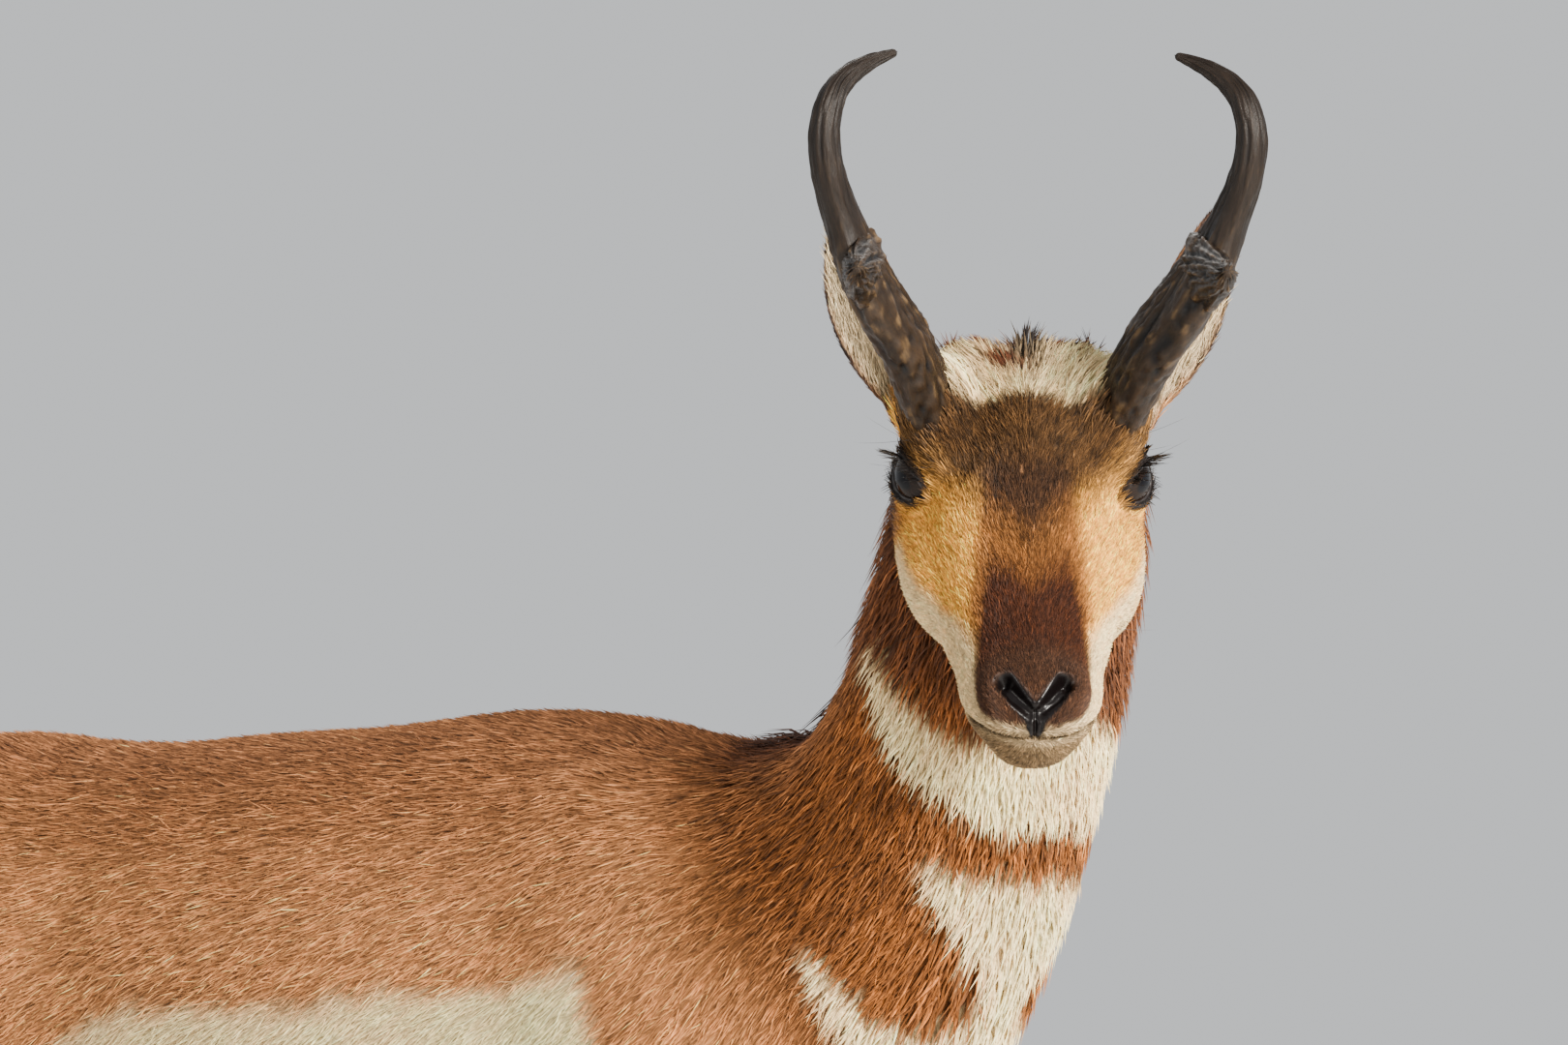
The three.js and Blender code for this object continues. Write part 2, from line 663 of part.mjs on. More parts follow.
function buildHead(trunkGrown) {
  const head = new THREE.Group();
  head.position.copy(EYES_AT);
  head.rotation.set(radians(HEAD_ROLL), radians(HEAD_PITCH), radians(HEAD_YAW), 'ZYX');
  head.updateMatrixWorld(true);
  const grown = headShape(SEAM);
  const rooted = grown.add(trunkGrown.transform(head.matrixWorld.clone().invert().toArray()));
  const cuts = [mouthGroove()];
  for (const [name, side] of [['left', 1], ['right', -1]]) {
    cuts.push(eyeBall(side, EYE_RADIUS + SEAM), lidOpening(side), nostril(side));
    head.add(meshOf(`eye_${name}`, eyeBall(side, EYE_RADIUS), EYE_BLACK));
    head.add(meshOf(`horn_${name}`, hornSolid(side, rooted), HORN_BLACK));
    head.add(meshOf(`ear_${name}`, earSolid(side, rooted), WHITE_COAT));
  }
  const skull = cuts.reduce((solid, cut) => solid.subtract(cut), withCrownTuft(headShape(0)));
  head.add(meshOf('head', largest(skull), FACE_COAT));
  return { head, inTrunk: grown.transform(head.matrixWorld.toArray()) };
}

function buildLegs(trunkGrown) {
  return LEGS.flatMap((leg) => {
    const names = ['upper', 'cannon', 'pastern'];
    const parts = legParts(leg, trunkGrown);
    const [footX] = leg.rows.at(-1);
    const x = footX + leg.step * (1 - HOOF_TOP / STEP_FROM);
    const toes = [-1, 1].map((toe) => {
      const y = leg.side * FOOT_SIDE + toe * TOE_SPREAD;
      const place = toe * leg.side > 0 ? 'outer' : 'inner';
      return meshOf(`hoof_${leg.name}_${place}`, toeSolid(x, y, -toe), HOOF_BLACK);
    });
    return [...parts.map((solid, i) => meshOf(`${leg.name}_${names[i]}`, solid, COAT)), ...toes];
  });
}

const pronghorn = new THREE.Group();
const trunkGrown = trunkSolid(SEAM);
const { head, inTrunk } = buildHead(trunkGrown);
pronghorn.add(head);

const trunkNames = ['rump', 'belly', 'chest', 'neck_lower', 'neck_upper'];
trunkParts(inTrunk).forEach((solid, i) => pronghorn.add(meshOf(trunkNames[i], solid, COAT)));

buildLegs(trunkGrown).forEach((mesh) => pronghorn.add(mesh));

const tail = sweep(TAIL, { sides: 10, steps: 7, startCap: 6, endCap: TAIL_CAP });
pronghorn.add(meshOf('tail', largest(tail.subtract(trunkGrown)), WHITE_COAT));

// Stands the model on the ground with the origin under the middle of its box
const root = new THREE.Group();
root.add(pronghorn);
const box = new THREE.Box3().setFromObject(pronghorn, true);
const middle = box.getCenter(new THREE.Vector3());
pronghorn.position.set(-middle.x, -middle.y, -box.min.z);

export default root;
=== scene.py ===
import math

import bpy
import numpy as np
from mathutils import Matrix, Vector
from mathutils.kdtree import KDTree


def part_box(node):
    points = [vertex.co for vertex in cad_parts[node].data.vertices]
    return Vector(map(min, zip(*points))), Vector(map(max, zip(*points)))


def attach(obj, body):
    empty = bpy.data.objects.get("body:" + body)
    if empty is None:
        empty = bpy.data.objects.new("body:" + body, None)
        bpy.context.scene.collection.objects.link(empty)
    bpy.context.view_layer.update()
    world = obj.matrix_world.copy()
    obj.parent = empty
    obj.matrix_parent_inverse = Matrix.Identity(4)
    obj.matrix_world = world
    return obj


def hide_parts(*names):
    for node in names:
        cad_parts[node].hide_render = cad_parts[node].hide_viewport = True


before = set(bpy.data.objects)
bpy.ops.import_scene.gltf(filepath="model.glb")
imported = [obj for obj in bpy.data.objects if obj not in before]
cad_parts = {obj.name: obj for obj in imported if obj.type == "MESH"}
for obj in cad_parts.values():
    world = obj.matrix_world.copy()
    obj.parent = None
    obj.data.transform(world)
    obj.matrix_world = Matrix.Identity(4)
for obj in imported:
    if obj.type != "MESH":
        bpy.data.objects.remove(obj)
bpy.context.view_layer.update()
RNG = np.random.default_rng(20240)
MM = 0.001

# Head: where the midpoint between the eyes is in the tables' frame, and its yaw, pitch and roll in degrees
EYES_AT = np.array([518.0, -60.0, 1023.0])
HEAD_TURNS = (-49.5, 40.0, -1.0)
# Middle of the head and the place behind the nose that the nostrils lead to, in the head's frame
HEAD_MIDDLE = np.array([60.0, 0, -22])
NOSE_HEART = np.array([165.0, 0, -20])
EYE_RADIUS = 21.0
EYE_HALF_SPACING = 49.0
EYE_OUTWARD = 64.0
EYE_UPWARD = 16.0
CORNEA_RISE = 0.9
LID_HALF_LENGTH = 18.0
LID_HALF_HEIGHT = 10.0
LID_THICKNESS = 1.6
# How far the opening is pressed in behind the front of the eyeball
SOCKET_DEPTH = 4.5
# Line of the mouth from its corner forward, and a nostril from its inner end out and up, in the head's frame
MOUTH_X, MOUTH_Z = [103, 131, 159, 185, 200], [-36, -35, -29, -21, -18]
NOSTRIL = [[188, 3, -5], [182, 10, 0], [172, 18, 4.5]]

# Rows of x, y, z, half width, half depth on the upper side, half depth on the lower side
TRUNK = [
    [-392, 0, 738, 62, 72, 92],
    [-340, 0, 730, 90, 116, 125],
    [-260, 0, 722, 102, 143, 148],
    [-165, 0, 713, 104, 150, 150],
    [-70, 0, 703, 118, 167, 168],
    [30, 0, 697, 125, 179, 180],
    [130, 0, 698, 121, 188, 185],
    [220, 0, 708, 110, 180, 188],
    [300, 0, 730, 97, 158, 168],
    [365, -1, 766, 86, 132, 108],
    [412, -3, 818, 77, 101, 86],
    [440, -6, 880, 72, 77, 83],
    [460, -10, 945, 68, 68, 80],
    [477, -15, 1005, 64, 64, 78],
    [490, -22, 1052, 56, 54, 62],
]
FORELEG = [
    [262, 62, 690, 40, 64, 66],
    [250, 74, 620, 42, 60, 62],
    [240, 81, 560, 37, 45, 57],
    [238, 84, 500, 30, 36, 42],
    [240, 85, 430, 24, 28, 30],
    [243, 85, 372, 20.5, 22.5, 23],
    [244, 85, 338, 22.5, 25, 22],
    [242, 85, 302, 19, 20, 20],
    [240, 85, 262, 14.5, 15.5, 17],
    [239, 85, 200, 13, 14.5, 17],
    [238, 85, 150, 14, 15, 19],
    [240, 85, 118, 18, 18, 22.5],
    [250, 85, 88, 15.5, 16, 18],
    [258, 85, 66, 18, 19, 20],
    [263, 85, 44, 20, 22, 23],
]
HIND_LEG = [
    [-285, 58, 700, 40, 92, 80],
    [-245, 76, 622, 44, 72, 78],
    [-242, 85, 556, 38, 57, 64],
    [-268, 88, 500, 30, 41, 49],
    [-303, 88, 450, 22.5, 28, 33],
    [-334, 87, 412, 18, 22, 26],
    [-350, 86, 384, 20, 22, 30],
    [-353, 86, 350, 19, 23, 24],
    [-350, 86, 308, 15.5, 18, 19],
    [-347, 86, 240, 13.5, 15.5, 18],
    [-344, 86, 160, 14, 15.5, 19],
    [-342, 86, 120, 18, 18.5, 23.5],
    [-331, 86, 88, 15.5, 16, 18.5],
    [-323, 86, 66, 18, 19, 20],
    [-318, 86, 44, 20, 22, 23],
]
# Name, rows, side and how far forward of square the foot is set
LEGS = [
    ("foreleg_right", FORELEG, -1, -6),
    ("foreleg_left", FORELEG, 1, 22),
    ("hindleg_right", HIND_LEG, -1, -22),
    ("hindleg_left", HIND_LEG, 1, 14),
]
STEP_FROM = 520.0
TAIL = [
    [-368, 0, 798, 15, 17, 17],
    [-403, 0, 796, 19, 17, 16],
    [-430, 0, 772, 24, 15, 15],
    [-444, 0, 735, 25, 13, 14],
    [-448, 0, 697, 16, 9, 9],
]
# Head rows, in the head's own frame with its origin between the eyes, x towards the nose
HEAD = [
    [-76, 0, -6, 44, 41, 34],
    [-56, 0, -14, 56, 62, 50],
    [-30, 0, -20, 60, 71, 60],
    [0, 0, -22, 61, 71, 60],
    [30, 0, -25, 61, 67, 54],
    [60, 0, -27, 56, 60, 45],
    [88, 0, -27, 49.5, 51, 37],
    [115, 0, -25, 43, 42, 32],
    [142, 0, -23, 37.5, 35, 31],
    [164, 0, -22, 34, 30, 31],
    [181, 0, -22, 27, 23, 27],
]
# Horn: rows of x, half spacing, z, half thickness, half depth behind, half depth in front
HORN = [
    [-20, 44, 16, 15, 23, 24],
    [-20, 55, 44, 15, 25, 26],
    [-22, 68.5, 80, 14.2, 25, 29],
    [-24, 86.5, 115, 13, 23, 32],
    [-27, 98.5, 140, 11.8, 19, 29],
    [-32, 107.5, 165, 10.4, 14, 16],
    [-39, 114.5, 187, 9.5, 12, 12.5],
    [-50, 117, 205, 8.8, 10.5, 10.5],
    [-64, 113, 217, 7.8, 8.8, 8.8],
    [-78, 104, 221, 6.3, 6.8, 6.8],
    [-89, 92, 222, 4.5, 4.8, 4.8],
    [-97, 79, 222, 2.6, 2.6, 2.6],
]
PRONG = [
    [-26, 91, 126, 10, 24, 26],
    [-6, 95, 145, 9.5, 17, 21],
    [14, 99, 162, 8, 11, 14],
    [30, 101, 175, 5.8, 7.5, 8.5],
    [40, 101, 186, 3.2, 3.8, 3.8],
]
EAR_ROOT = [-53, 64, 12]
EAR_TIP = [-138, 100, 78]
EAR_FACES = [0.5, 0.72, 0.5]
EAR_WALL = 2.8
EAR_INSET = 0.5
EAR_COLUMNS, EAR_ROWS = 36, 64
# Ear rows of share of length, half width, cup depth
EAR = [
    [-0.12, 13, 18],
    [0, 15, 20],
    [0.12, 20, 20],
    [0.28, 24.5, 16],
    [0.45, 26, 12],
    [0.62, 23.5, 8.5],
    [0.78, 17.5, 6.5],
    [0.9, 11, 4.6],
    [1, 2.4, 3],
]
EAR_LEAN_BACK = -7.0
LEFT_EAR_OUT = 12.0

# Depth of the coat over the skin
BODY_COAT = 3.5
NECK_COAT = 5.0
FACE_COAT = 1.4
LEG_COAT = 1.6
THIGH_COAT = 2.5
TAIL_COAT = 4.0


def turn_of_head():
    """The head's own axes as the columns of a matrix: yaw, then pitch, then roll."""
    cz, sz, cy, sy, cx, sx = (f(math.radians(a)) for a in HEAD_TURNS for f in (math.cos, math.sin))
    rz = np.array([[cz, -sz, 0], [sz, cz, 0], [0, 0, 1]])
    ry = np.array([[cy, 0, sy], [0, 1, 0], [-sy, 0, cy]])
    rx = np.array([[1, 0, 0], [0, cx, -sx], [0, sx, cx]])
    return rz @ ry @ rx


HEAD_TURN = turn_of_head()
# The frame's origin is under the middle of the model, so the tables are shifted onto the eyes of the frame
EYE_CENTRES = [np.array(sum(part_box(f"eye_{side}"), Vector())) / 2 / MM for side in ("left", "right")]
SHIFT = (EYE_CENTRES[0] + EYE_CENTRES[1]) / 2 - EYES_AT
SHIFT[2] = 0.0


def from_head(p):
    """Points of the head's frame in the tables' frame."""
    return p @ HEAD_TURN.T + EYES_AT


def to_head(p):
    """Points of the tables' frame in the head's frame."""
    return (p - EYES_AT) @ HEAD_TURN


def unit(v):
    return v / np.maximum(np.linalg.norm(v, axis=-1, keepdims=True), 1e-12)


def along_skin(v, normal):
    """Directions laid flat on a surface with the given normals."""
    return unit(v - normal * np.einsum("ij,ij->i", v, normal)[:, None])


def ease(low, high, x):
    """A smooth step from 0 at low to 1 at high."""
    t = np.clip((x - low) / (high - low), 0, 1)
    return t * t * (3 - 2 * t)


def bell(*offsets):
    """A mound of height 1 that fades with the offsets from its middle."""
    return np.exp(-sum(offset**2 for offset in offsets))


def side_name(side):
    return "left" if side > 0 else "right"


def mirrored(rows, side):
    """Rows of numbers with their y on the given side."""
    return [[x, side * y, *rest] for x, y, *rest in rows]


def full_turn(count):
    return np.linspace(0, math.tau, count, endpoint=False)


def pairs(first, second):
    """Every number of the first row with every number of the second, as two grids."""
    return np.meshgrid(first, second, indexing="ij")


def curve(rows, t):
    """A smooth curve through the rows at shares t of its length."""
    rows = np.asarray(rows, float)
    ends = np.vstack([2 * rows[0] - rows[1], rows, 2 * rows[-1] - rows[-2]])
    s = np.clip(np.asarray(t, float), 0, 1) * (len(rows) - 1)
    i = np.minimum(s.astype(int), len(rows) - 2)
    w = (s - i)[:, None]
    a, b, c, d = (ends[i + k] for k in range(4))
    out, back = (c - a) / 2, (d - b) / 2
    return b + out * w + (3 * (c - b) - 2 * out - back) * w**2 + (2 * (b - c) + out + back) * w**3


def frames(rows, t):
    """Centre, tangent, side and upper direction of the path at each t."""
    line = np.asarray(rows, float)[:, :3]
    tangent = unit(curve(line, np.minimum(1, t + 0.01)) - curve(line, np.maximum(0, t - 0.01)))
    side = unit(np.array([0, 1, 0]) - tangent * tangent[:, 1:2])
    return curve(line, t), tangent, side, np.cross(tangent, side)


def bump(centre, radii, blend, lean=0.0):
    """An ellipsoid that swells a loft: centre, radii, width of its blend and its turn about y."""
    c, s = math.cos(math.radians(lean)), math.sin(math.radians(lean))
    turn = np.array([[c, 0, s], [0, 1, 0], [-s, 0, c]])
    return np.array(centre, float), np.array(radii, float), blend, turn


def bump_pair(centre, radii, blend, lean=0.0):
    x, y, z = centre
    return [bump([x, y, z], radii, blend, lean), bump([x, -y, z], radii, blend, lean)]


def blended(p, d, bumps):
    """The distance d to a section, joined smoothly with the distance to each bump."""
    for centre, radii, blend, turn in bumps:
        q = (p - centre) @ turn.T / radii
        k0 = np.linalg.norm(q, axis=-1)
        k1 = np.maximum(np.linalg.norm(q / radii, axis=-1), 1e-9)
        e = k0 * (k0 - 1) / k1
        h = np.maximum(blend - np.abs(d - e), 0) / blend
        d = np.minimum(d, e) - h * h * blend / 4
    return d


def reach(centre, way, radius, bumps):
    """How far rays from the centres run before they leave the section blended with the bumps."""
    if not bumps:
        return radius
    stride, furthest, halvings = 2, 160, 10
    r = radius.copy()
    live = np.arange(len(r))
    while len(live):
        p = centre[live] + way[live] * r[live, None]
        inside = blended(p, r[live] - radius[live], bumps) < 0
        live = live[inside & (r[live] < radius[live] + furthest)]
        r[live] += stride
    low, high = np.where(r > radius, r - stride, r), r.copy()
    for _ in range(halvings):
        middle = (low + high) / 2
        inside = blended(centre + way * middle[:, None], middle - radius, bumps) < 0
        low, high = np.where(inside, middle, low), np.where(inside, high, middle)
    return high


def loft(rows, steps, sides, caps, bumps=(), grow=0.0, power=2.0, upper_power=None, cap_rings=10):
    """A swept surface with round caps: points by ring and side, and where each ring is in the rows."""
    upper_power = upper_power or power
    bow = np.sin(np.linspace(0, math.pi / 2, cap_rings, endpoint=False)[1:])
    t = np.concatenate([np.zeros(len(bow)), np.linspace(0, 1, steps), np.ones(len(bow))])
    along = np.concatenate([-bow[::-1] * caps[0], np.zeros(steps), bow * caps[1]])
    squeeze = np.sqrt(1 - np.concatenate([bow[::-1], np.zeros(steps), bow]) ** 2)
    centre, tangent, side, upper = frames(rows, t)
    centre = centre + tangent * along[:, None]
    size = curve(np.asarray(rows, float)[:, 3:6], t) * squeeze[:, None]
    angle = math.tau * np.arange(sides) / sides
    c, s = np.cos(angle)[None], np.sin(angle)[None]
    half = np.where(s > 0, size[:, 1:2], size[:, 2:3])
    p = np.where(s > 0, upper_power, power)
    radius = ((np.abs(c) / size[:, :1]) ** p + (np.abs(s) / half) ** p) ** (-1 / p)
    way = (c[..., None] * side[:, None] + s[..., None] * upper[:, None]).reshape(-1, 3)
    flat_centre = np.repeat(centre, sides, axis=0)
    distance = reach(flat_centre, way, radius.ravel(), bumps)
    grown = distance + (grow(np.repeat(t, sides), flat_centre) if callable(grow) else grow)
    points = flat_centre + way * np.maximum(grown, 0.3)[:, None]
    return {
        "points": points.reshape(len(t), sides, 3),
        "row": t * (len(rows) - 1),
        "angle": angle,
        "tips": centre[[0, -1]] + tangent[[0, -1]] * np.array([[-1.0], [1.0]]),
        "tangent": tangent,
        "run": np.concatenate([[0], np.cumsum(np.linalg.norm(np.diff(centre, axis=0), axis=1))]),
    }


def split_quads(a, b, c, d):
    """Two triangles for each quad, from the numbers of its corners."""
    return np.concatenate([np.stack([a, b, c], -1).reshape(-1, 3), np.stack([a, c, d], -1).reshape(-1, 3)])


def faces_of(rings, sides):
    """Triangles of a closed loft, with its two tips as the last two points."""
    i = np.arange(sides)
    n = (i + 1) % sides
    j = np.arange(rings - 1)[:, None] * sides
    walls = split_quads(j + i, j + n, j + sides + n, j + sides + i)
    first = np.stack([np.full(sides, rings * sides), n, i], -1)
    top = (rings - 1) * sides
    last = np.stack([np.full(sides, rings * sides + 1), top + i, top + n], -1)
    return np.concatenate([walls, first, last])


def copies(pattern, corners, count):
    """The triangles of one small piece with so many corners, repeated for each copy of it."""
    return (np.arange(count)[:, None, None] * corners + np.array(pattern)).reshape(-1, 3)


def turned_out(points, faces):
    """The faces with the winding that gives a positive volume."""
    a, b, c = (points[faces[:, k]] for k in range(3))
    return faces if np.einsum("ij,ij->i", a, np.cross(b, c)).sum() > 0 else faces[:, ::-1]


def single(values):
    """Values in one row and in single precision, as meshes keep them."""
    return values.astype(np.float32).ravel()


def in_metres(points):
    """Points of the tables' frame as one row of metres in the frame of the pack."""
    return single((points + SHIFT) * MM)


def mesh_object(name, points, faces, smooth=True):
    """A Blender object from points in the tables' millimetres."""
    mesh = bpy.data.meshes.new(name)
    mesh.vertices.add(len(points))
    mesh.vertices.foreach_set("co", in_metres(points))
    mesh.loops.add(faces.size)
    mesh.loops.foreach_set("vertex_index", faces.astype(np.int32).ravel())
    mesh.polygons.add(len(faces))
    mesh.polygons.foreach_set("loop_start", np.arange(0, faces.size, faces.shape[1], dtype=np.int32))
    mesh.polygons.foreach_set("use_smooth", np.full(len(faces), smooth))
    mesh.update(calc_edges=True)
    made = bpy.data.objects.new(name, mesh)
    bpy.context.scene.collection.objects.link(made)
    return made


def loft_object(name, lofted):
    rings, sides = lofted["points"].shape[:2]
    points = np.concatenate([lofted["points"].reshape(-1, 3), lofted["tips"]])
    return mesh_object(name, points, turned_out(points, faces_of(rings, sides)))


def points_of(obj):
    """The vertices of an object in the tables' millimetres."""
    co = np.empty(len(obj.data.vertices) * 3, np.float32)
    obj.data.vertices.foreach_get("co", co)
    return co.reshape(-1, 3).astype(float) / MM - SHIFT


def union(name, objects):
    """Joins closed objects into the first and removes the rest."""
    main, rest = objects[0], objects[1:]
    group = bpy.data.collections.new(name + "_parts")
    for other in rest:
        group.objects.link(other)
    join = main.modifiers.new("join", "BOOLEAN")
    join.operand_type = "COLLECTION"
    join.collection = group
    join.operation = "UNION"
    join.solver = "MANIFOLD"
    graph = bpy.context.evaluated_depsgraph_get()
    joined, old = bpy.data.meshes.new_from_object(main.evaluated_get(graph)), main.data
    main.modifiers.clear()
    main.data = joined
    bpy.data.meshes.remove(old)
    for other in rest:
        bpy.data.objects.remove(other)
    bpy.data.collections.remove(group)
    main.name = name
    return main


TRUNK_BUMPS = (
    bump_pair([268, 66, 705], [62, 46, 150], 44, 22)
    + bump_pair([262, 70, 610], [66, 44, 70], 40)
    + bump_pair([-272, 60, 698], [104, 52, 142], 64, 18)
    + bump_pair([-330, 54, 690], [62, 44, 96], 64, 10)
    + [bump([372, 0, 650], [46, 52, 60], 40)]
)
HEAD_BUMPS = (
    bump_pair([0, EYE_HALF_SPACING, 0], [EYE_RADIUS + 3] * 3, 9)
    + bump_pair([-10, 42, 24], [30, 20, 16], 12)
    + bump_pair([-20, 42, -42], [42, 26, 36], 18)
    + bump_pair([34, 42, -36], [46, 24, 24], 18)
    + bump_pair([-20, 47, 34], [25, 18, 18], 14)
    + bump_pair([-45, 26, 29], [28, 24, 17], 14)
    + bump_pair([-50, 50, 6], [20, 18, 20], 14)
    + bump_pair([169, 17, -9], [18, 14, 14], 9)
    + bump_pair([150, 20, -27], [34, 17, 13], 8)
    + [bump([167, 0, -41], [20, 21, 12], 9)]
)


def trunk_coat(t, centre):
    """How far the skin lies inside the coat's tips along the trunk."""
    row = t * (len(TRUNK) - 1)
    return -(BODY_COAT + (NECK_COAT - BODY_COAT) * ease(8, 10, row)) * (1 - 0.45 * ease(12.6, 14, row))


def leg_coat(t, centre):
    """How far the skin lies inside the coat's tips along a leg."""
    z = centre[:, 2]
    return -LEG_COAT * (0.35 + 0.65 * ease(90, 330, z)) - THIGH_COAT * ease(470, 600, z)


def leg_loft(rows, side, forward):
    placed = [[x + forward * max(0, 1 - z / STEP_FROM), side * y, z, *size] for x, y, z, *size in rows]
    return loft(placed, 170, 44, (20, 8), grow=leg_coat, power=2.1)


def eye_axes(side):
    """The way an eye looks, and the directions across and up over its lids, in the head's frame."""
    yaw = side * math.radians(EYE_OUTWARD)
    look = unit(np.array([math.cos(yaw), math.sin(yaw), math.sin(math.radians(EYE_UPWARD))]))
    across = unit(np.cross([0, 0, 1], look)) * -side
    up = unit(np.cross(look, across)) * -side
    return look, across, up


def eye_centre(side):
    return np.array([0, side * EYE_HALF_SPACING, 0])


def eye_patch(h, side, longer, higher, outer, inner):
    """Share of an oval round an eye: how much larger than the lids it is, and the edges of its fading."""
    look, across, up = eye_axes(side)
    r = h - eye_centre(side)
    ring = np.hypot(r @ across / (LID_HALF_LENGTH + longer), r @ up / (LID_HALF_HEIGHT + higher))
    return ease(outer, inner, ring) * (r @ look > 0)


def lid_half_height(a):
    """Half height of the almond between the lids, at a place along it given as a share from -1 to 1."""
    return LID_HALF_HEIGHT * np.maximum(1 - np.abs(a) ** 1.9, 0) ** 0.75


def grid_normals(points, middle):
    """Normals of a grid of rings that closes round each ring, pointing away from the middle."""
    around = np.roll(points, -1, axis=1) - np.roll(points, 1, axis=1)
    normal = unit(np.cross(np.gradient(points, axis=0), around))
    return normal if (normal * (points - middle)).sum(-1).mean() >= 0 else -normal


def near_line(p, line):
    """Distance of points from a line through a few points, and the share along it."""
    line = np.asarray(line, float)
    best, share = np.full(len(p), 1e9), np.zeros(len(p))
    for k in range(len(line) - 1):
        a, d = line[k], line[k + 1] - line[k]
        t = np.clip((p - a) @ d / (d @ d), 0, 1)
        distance = np.linalg.norm(p - a - t[:, None] * d, axis=1)
        closer = distance < best
        best = np.where(closer, distance, best)
        share = np.where(closer, (k + t) / (len(line) - 1), share)
    return best, share


def nostril_distance(h, side):
    """Distance of points of the head from a nostril and the hollow behind it."""
    line = np.array(mirrored(NOSTRIL, side))
    inward = unit(NOSE_HEART - line)
    return np.min([near_line(h, line + depth * inward)[0] for depth in (0, 5, 9)], axis=0)


def mouth_level(x):
    return np.interp(x, MOUTH_X, MOUTH_Z)


def sculpt_head(points):
    """Presses the eye openings, nostrils, mouth and philtrum into the head and raises lids and lips."""
    normal = grid_normals(points, HEAD_MIDDLE).reshape(-1, 3)
    p = points.reshape(-1, 3).copy()
    x, m, z = p[:, 0], np.abs(p[:, 1]), p[:, 2]
    # Hollow before the eye and crest of the cheek
    move = -2.2 * bell((x - 36) / 13, (m - 52) / 10, (z - 2) / 11)
    move += 1.2 * bell((z + 16 + 0.06 * x) / 5) * ease(35, 60, x) * ease(130, 100, x)
    # Mouth: a groove with a fuller lip over it
    drop = z - mouth_level(x)
    along_mouth = ease(MOUTH_X[0] - 2, MOUTH_X[0] + 6, x)
    move -= 2.6 * bell(drop / 1.3) * along_mouth
    move += 1.5 * bell((drop - 6) / 5) * along_mouth
    # Philtrum and nostrils
    split = ease(176, 184, x) * ease(mouth_level(x) - 1, mouth_level(x) + 2, z) * ease(0, -5, z)
    move -= 2.0 * bell(p[:, 1] / 1.1) * split
    for side in (-1, 1):
        distance, share = near_line(p, mirrored(NOSTRIL, side))
        move -= 10.0 * np.exp(-((distance / (3.2 + 2.2 * share)) ** 4)) * (0.4 + 0.6 * share)
        fold, _ = near_line(p, [[a - 2, side * (b + 2.5), c + 4.5] for a, b, c in NOSTRIL])
        move += 2.0 * bell(fold / 3.8)
    p += normal * move[:, None]
    # Eyes: the opening is pressed in, the skin round it covers the ball, and folds follow its rim
    for side in (-1, 1):
        look, across, up = eye_axes(side)
        r = p - eye_centre(side)
        a, u, out = r @ across, r @ up, r @ look
        past = np.abs(a) - LID_HALF_LENGTH
        height = np.maximum(lid_half_height(a / LID_HALF_LENGTH), 0.05)
        outside = np.where(np.abs(a) < LID_HALF_LENGTH, np.abs(u) - height, np.hypot(past, u))
        here = (out > 2) & (outside < 9)
        inside = ease(0.9, -0.9, outside) * here
        depth = np.maximum(np.linalg.norm(r, axis=1), 1e-6)
        cover = np.maximum(EYE_RADIUS + LID_THICKNESS - depth, 0) * (1 - inside) * ease(-6, 2, out)
        p += r / depth[:, None] * ((EYE_RADIUS - SOCKET_DEPTH - depth) * inside + cover)[:, None]
        fold = bell((outside - 2.2) / 1.5) * 1.3 - bell((outside - 5.6) / 1.3) * 0.9 * (u > 0)
        p += look * (fold * here)[:, None]
    return p.reshape(points.shape)


def ear_grids(side):
    """Points of the ear's back and of the inside of its cup, as two grids in the head's frame."""
    out = LEFT_EAR_OUT if side > 0 else 0.0
    root = np.array([EAR_ROOT[0], side * (EAR_ROOT[1] + out / 2), EAR_ROOT[2]])
    tip = np.array([EAR_TIP[0], side * (EAR_TIP[1] + out), EAR_TIP[2]])
    length = np.linalg.norm(tip - root)
    axis = (tip - root) / length
    faces = np.array([EAR_FACES[0], side * EAR_FACES[1], EAR_FACES[2]])
    faces = unit(faces - faces.dot(axis) * axis)
    across = unit(np.cross(axis, faces))
    profile = curve(EAR, np.linspace(0, 1, EAR_ROWS + 1))
    a = np.linspace(-1, 1, EAR_COLUMNS + 1)[None, :, None]

    def grid(inset):
        share, width, depth = (profile[:, k][:, None, None] for k in range(3))
        bow = EAR_LEAN_BACK * np.sin(math.pi * np.maximum(0, share))
        width = np.maximum(width - 0.5 * inset, 0.6)
        depth = np.maximum(depth - inset, 0.2)
        deep = -depth * (1 - a * a) + 0.25 * inset - bow
        return root + axis * share * length + across * width * np.sin(a * math.pi / 2) + faces * deep

    return grid(EAR_INSET), grid(EAR_WALL - EAR_INSET)


def ear_object(side):
    """A closed sheet between the ear's back and the inside of its cup."""
    outer, inner = ear_grids(side)
    points = from_head(np.concatenate([outer.reshape(-1, 3), inner.reshape(-1, 3)]))
    half = len(points) // 2
    spot = np.arange(half).reshape(outer.shape[:2])
    a, b, c, d = (k.ravel() for k in (spot[:-1, :-1], spot[:-1, 1:], spot[1:, 1:], spot[1:, :-1]))
    quads = [np.stack([a, b, c, d], -1), np.stack([a, d, c, b], -1) + half]
    for rim, way in ((spot[:, 0], 1), (spot[:, -1], -1), (spot[0], -1), (spot[-1], 1)):
        quads.append(np.stack([rim[:-1], rim[1:], rim[1:] + half, rim[:-1] + half], -1)[:, ::way])
    faces = split_quads(*np.concatenate(quads).T)
    return mesh_object(f"ear_skin_{side}", points, turned_out(points, faces))


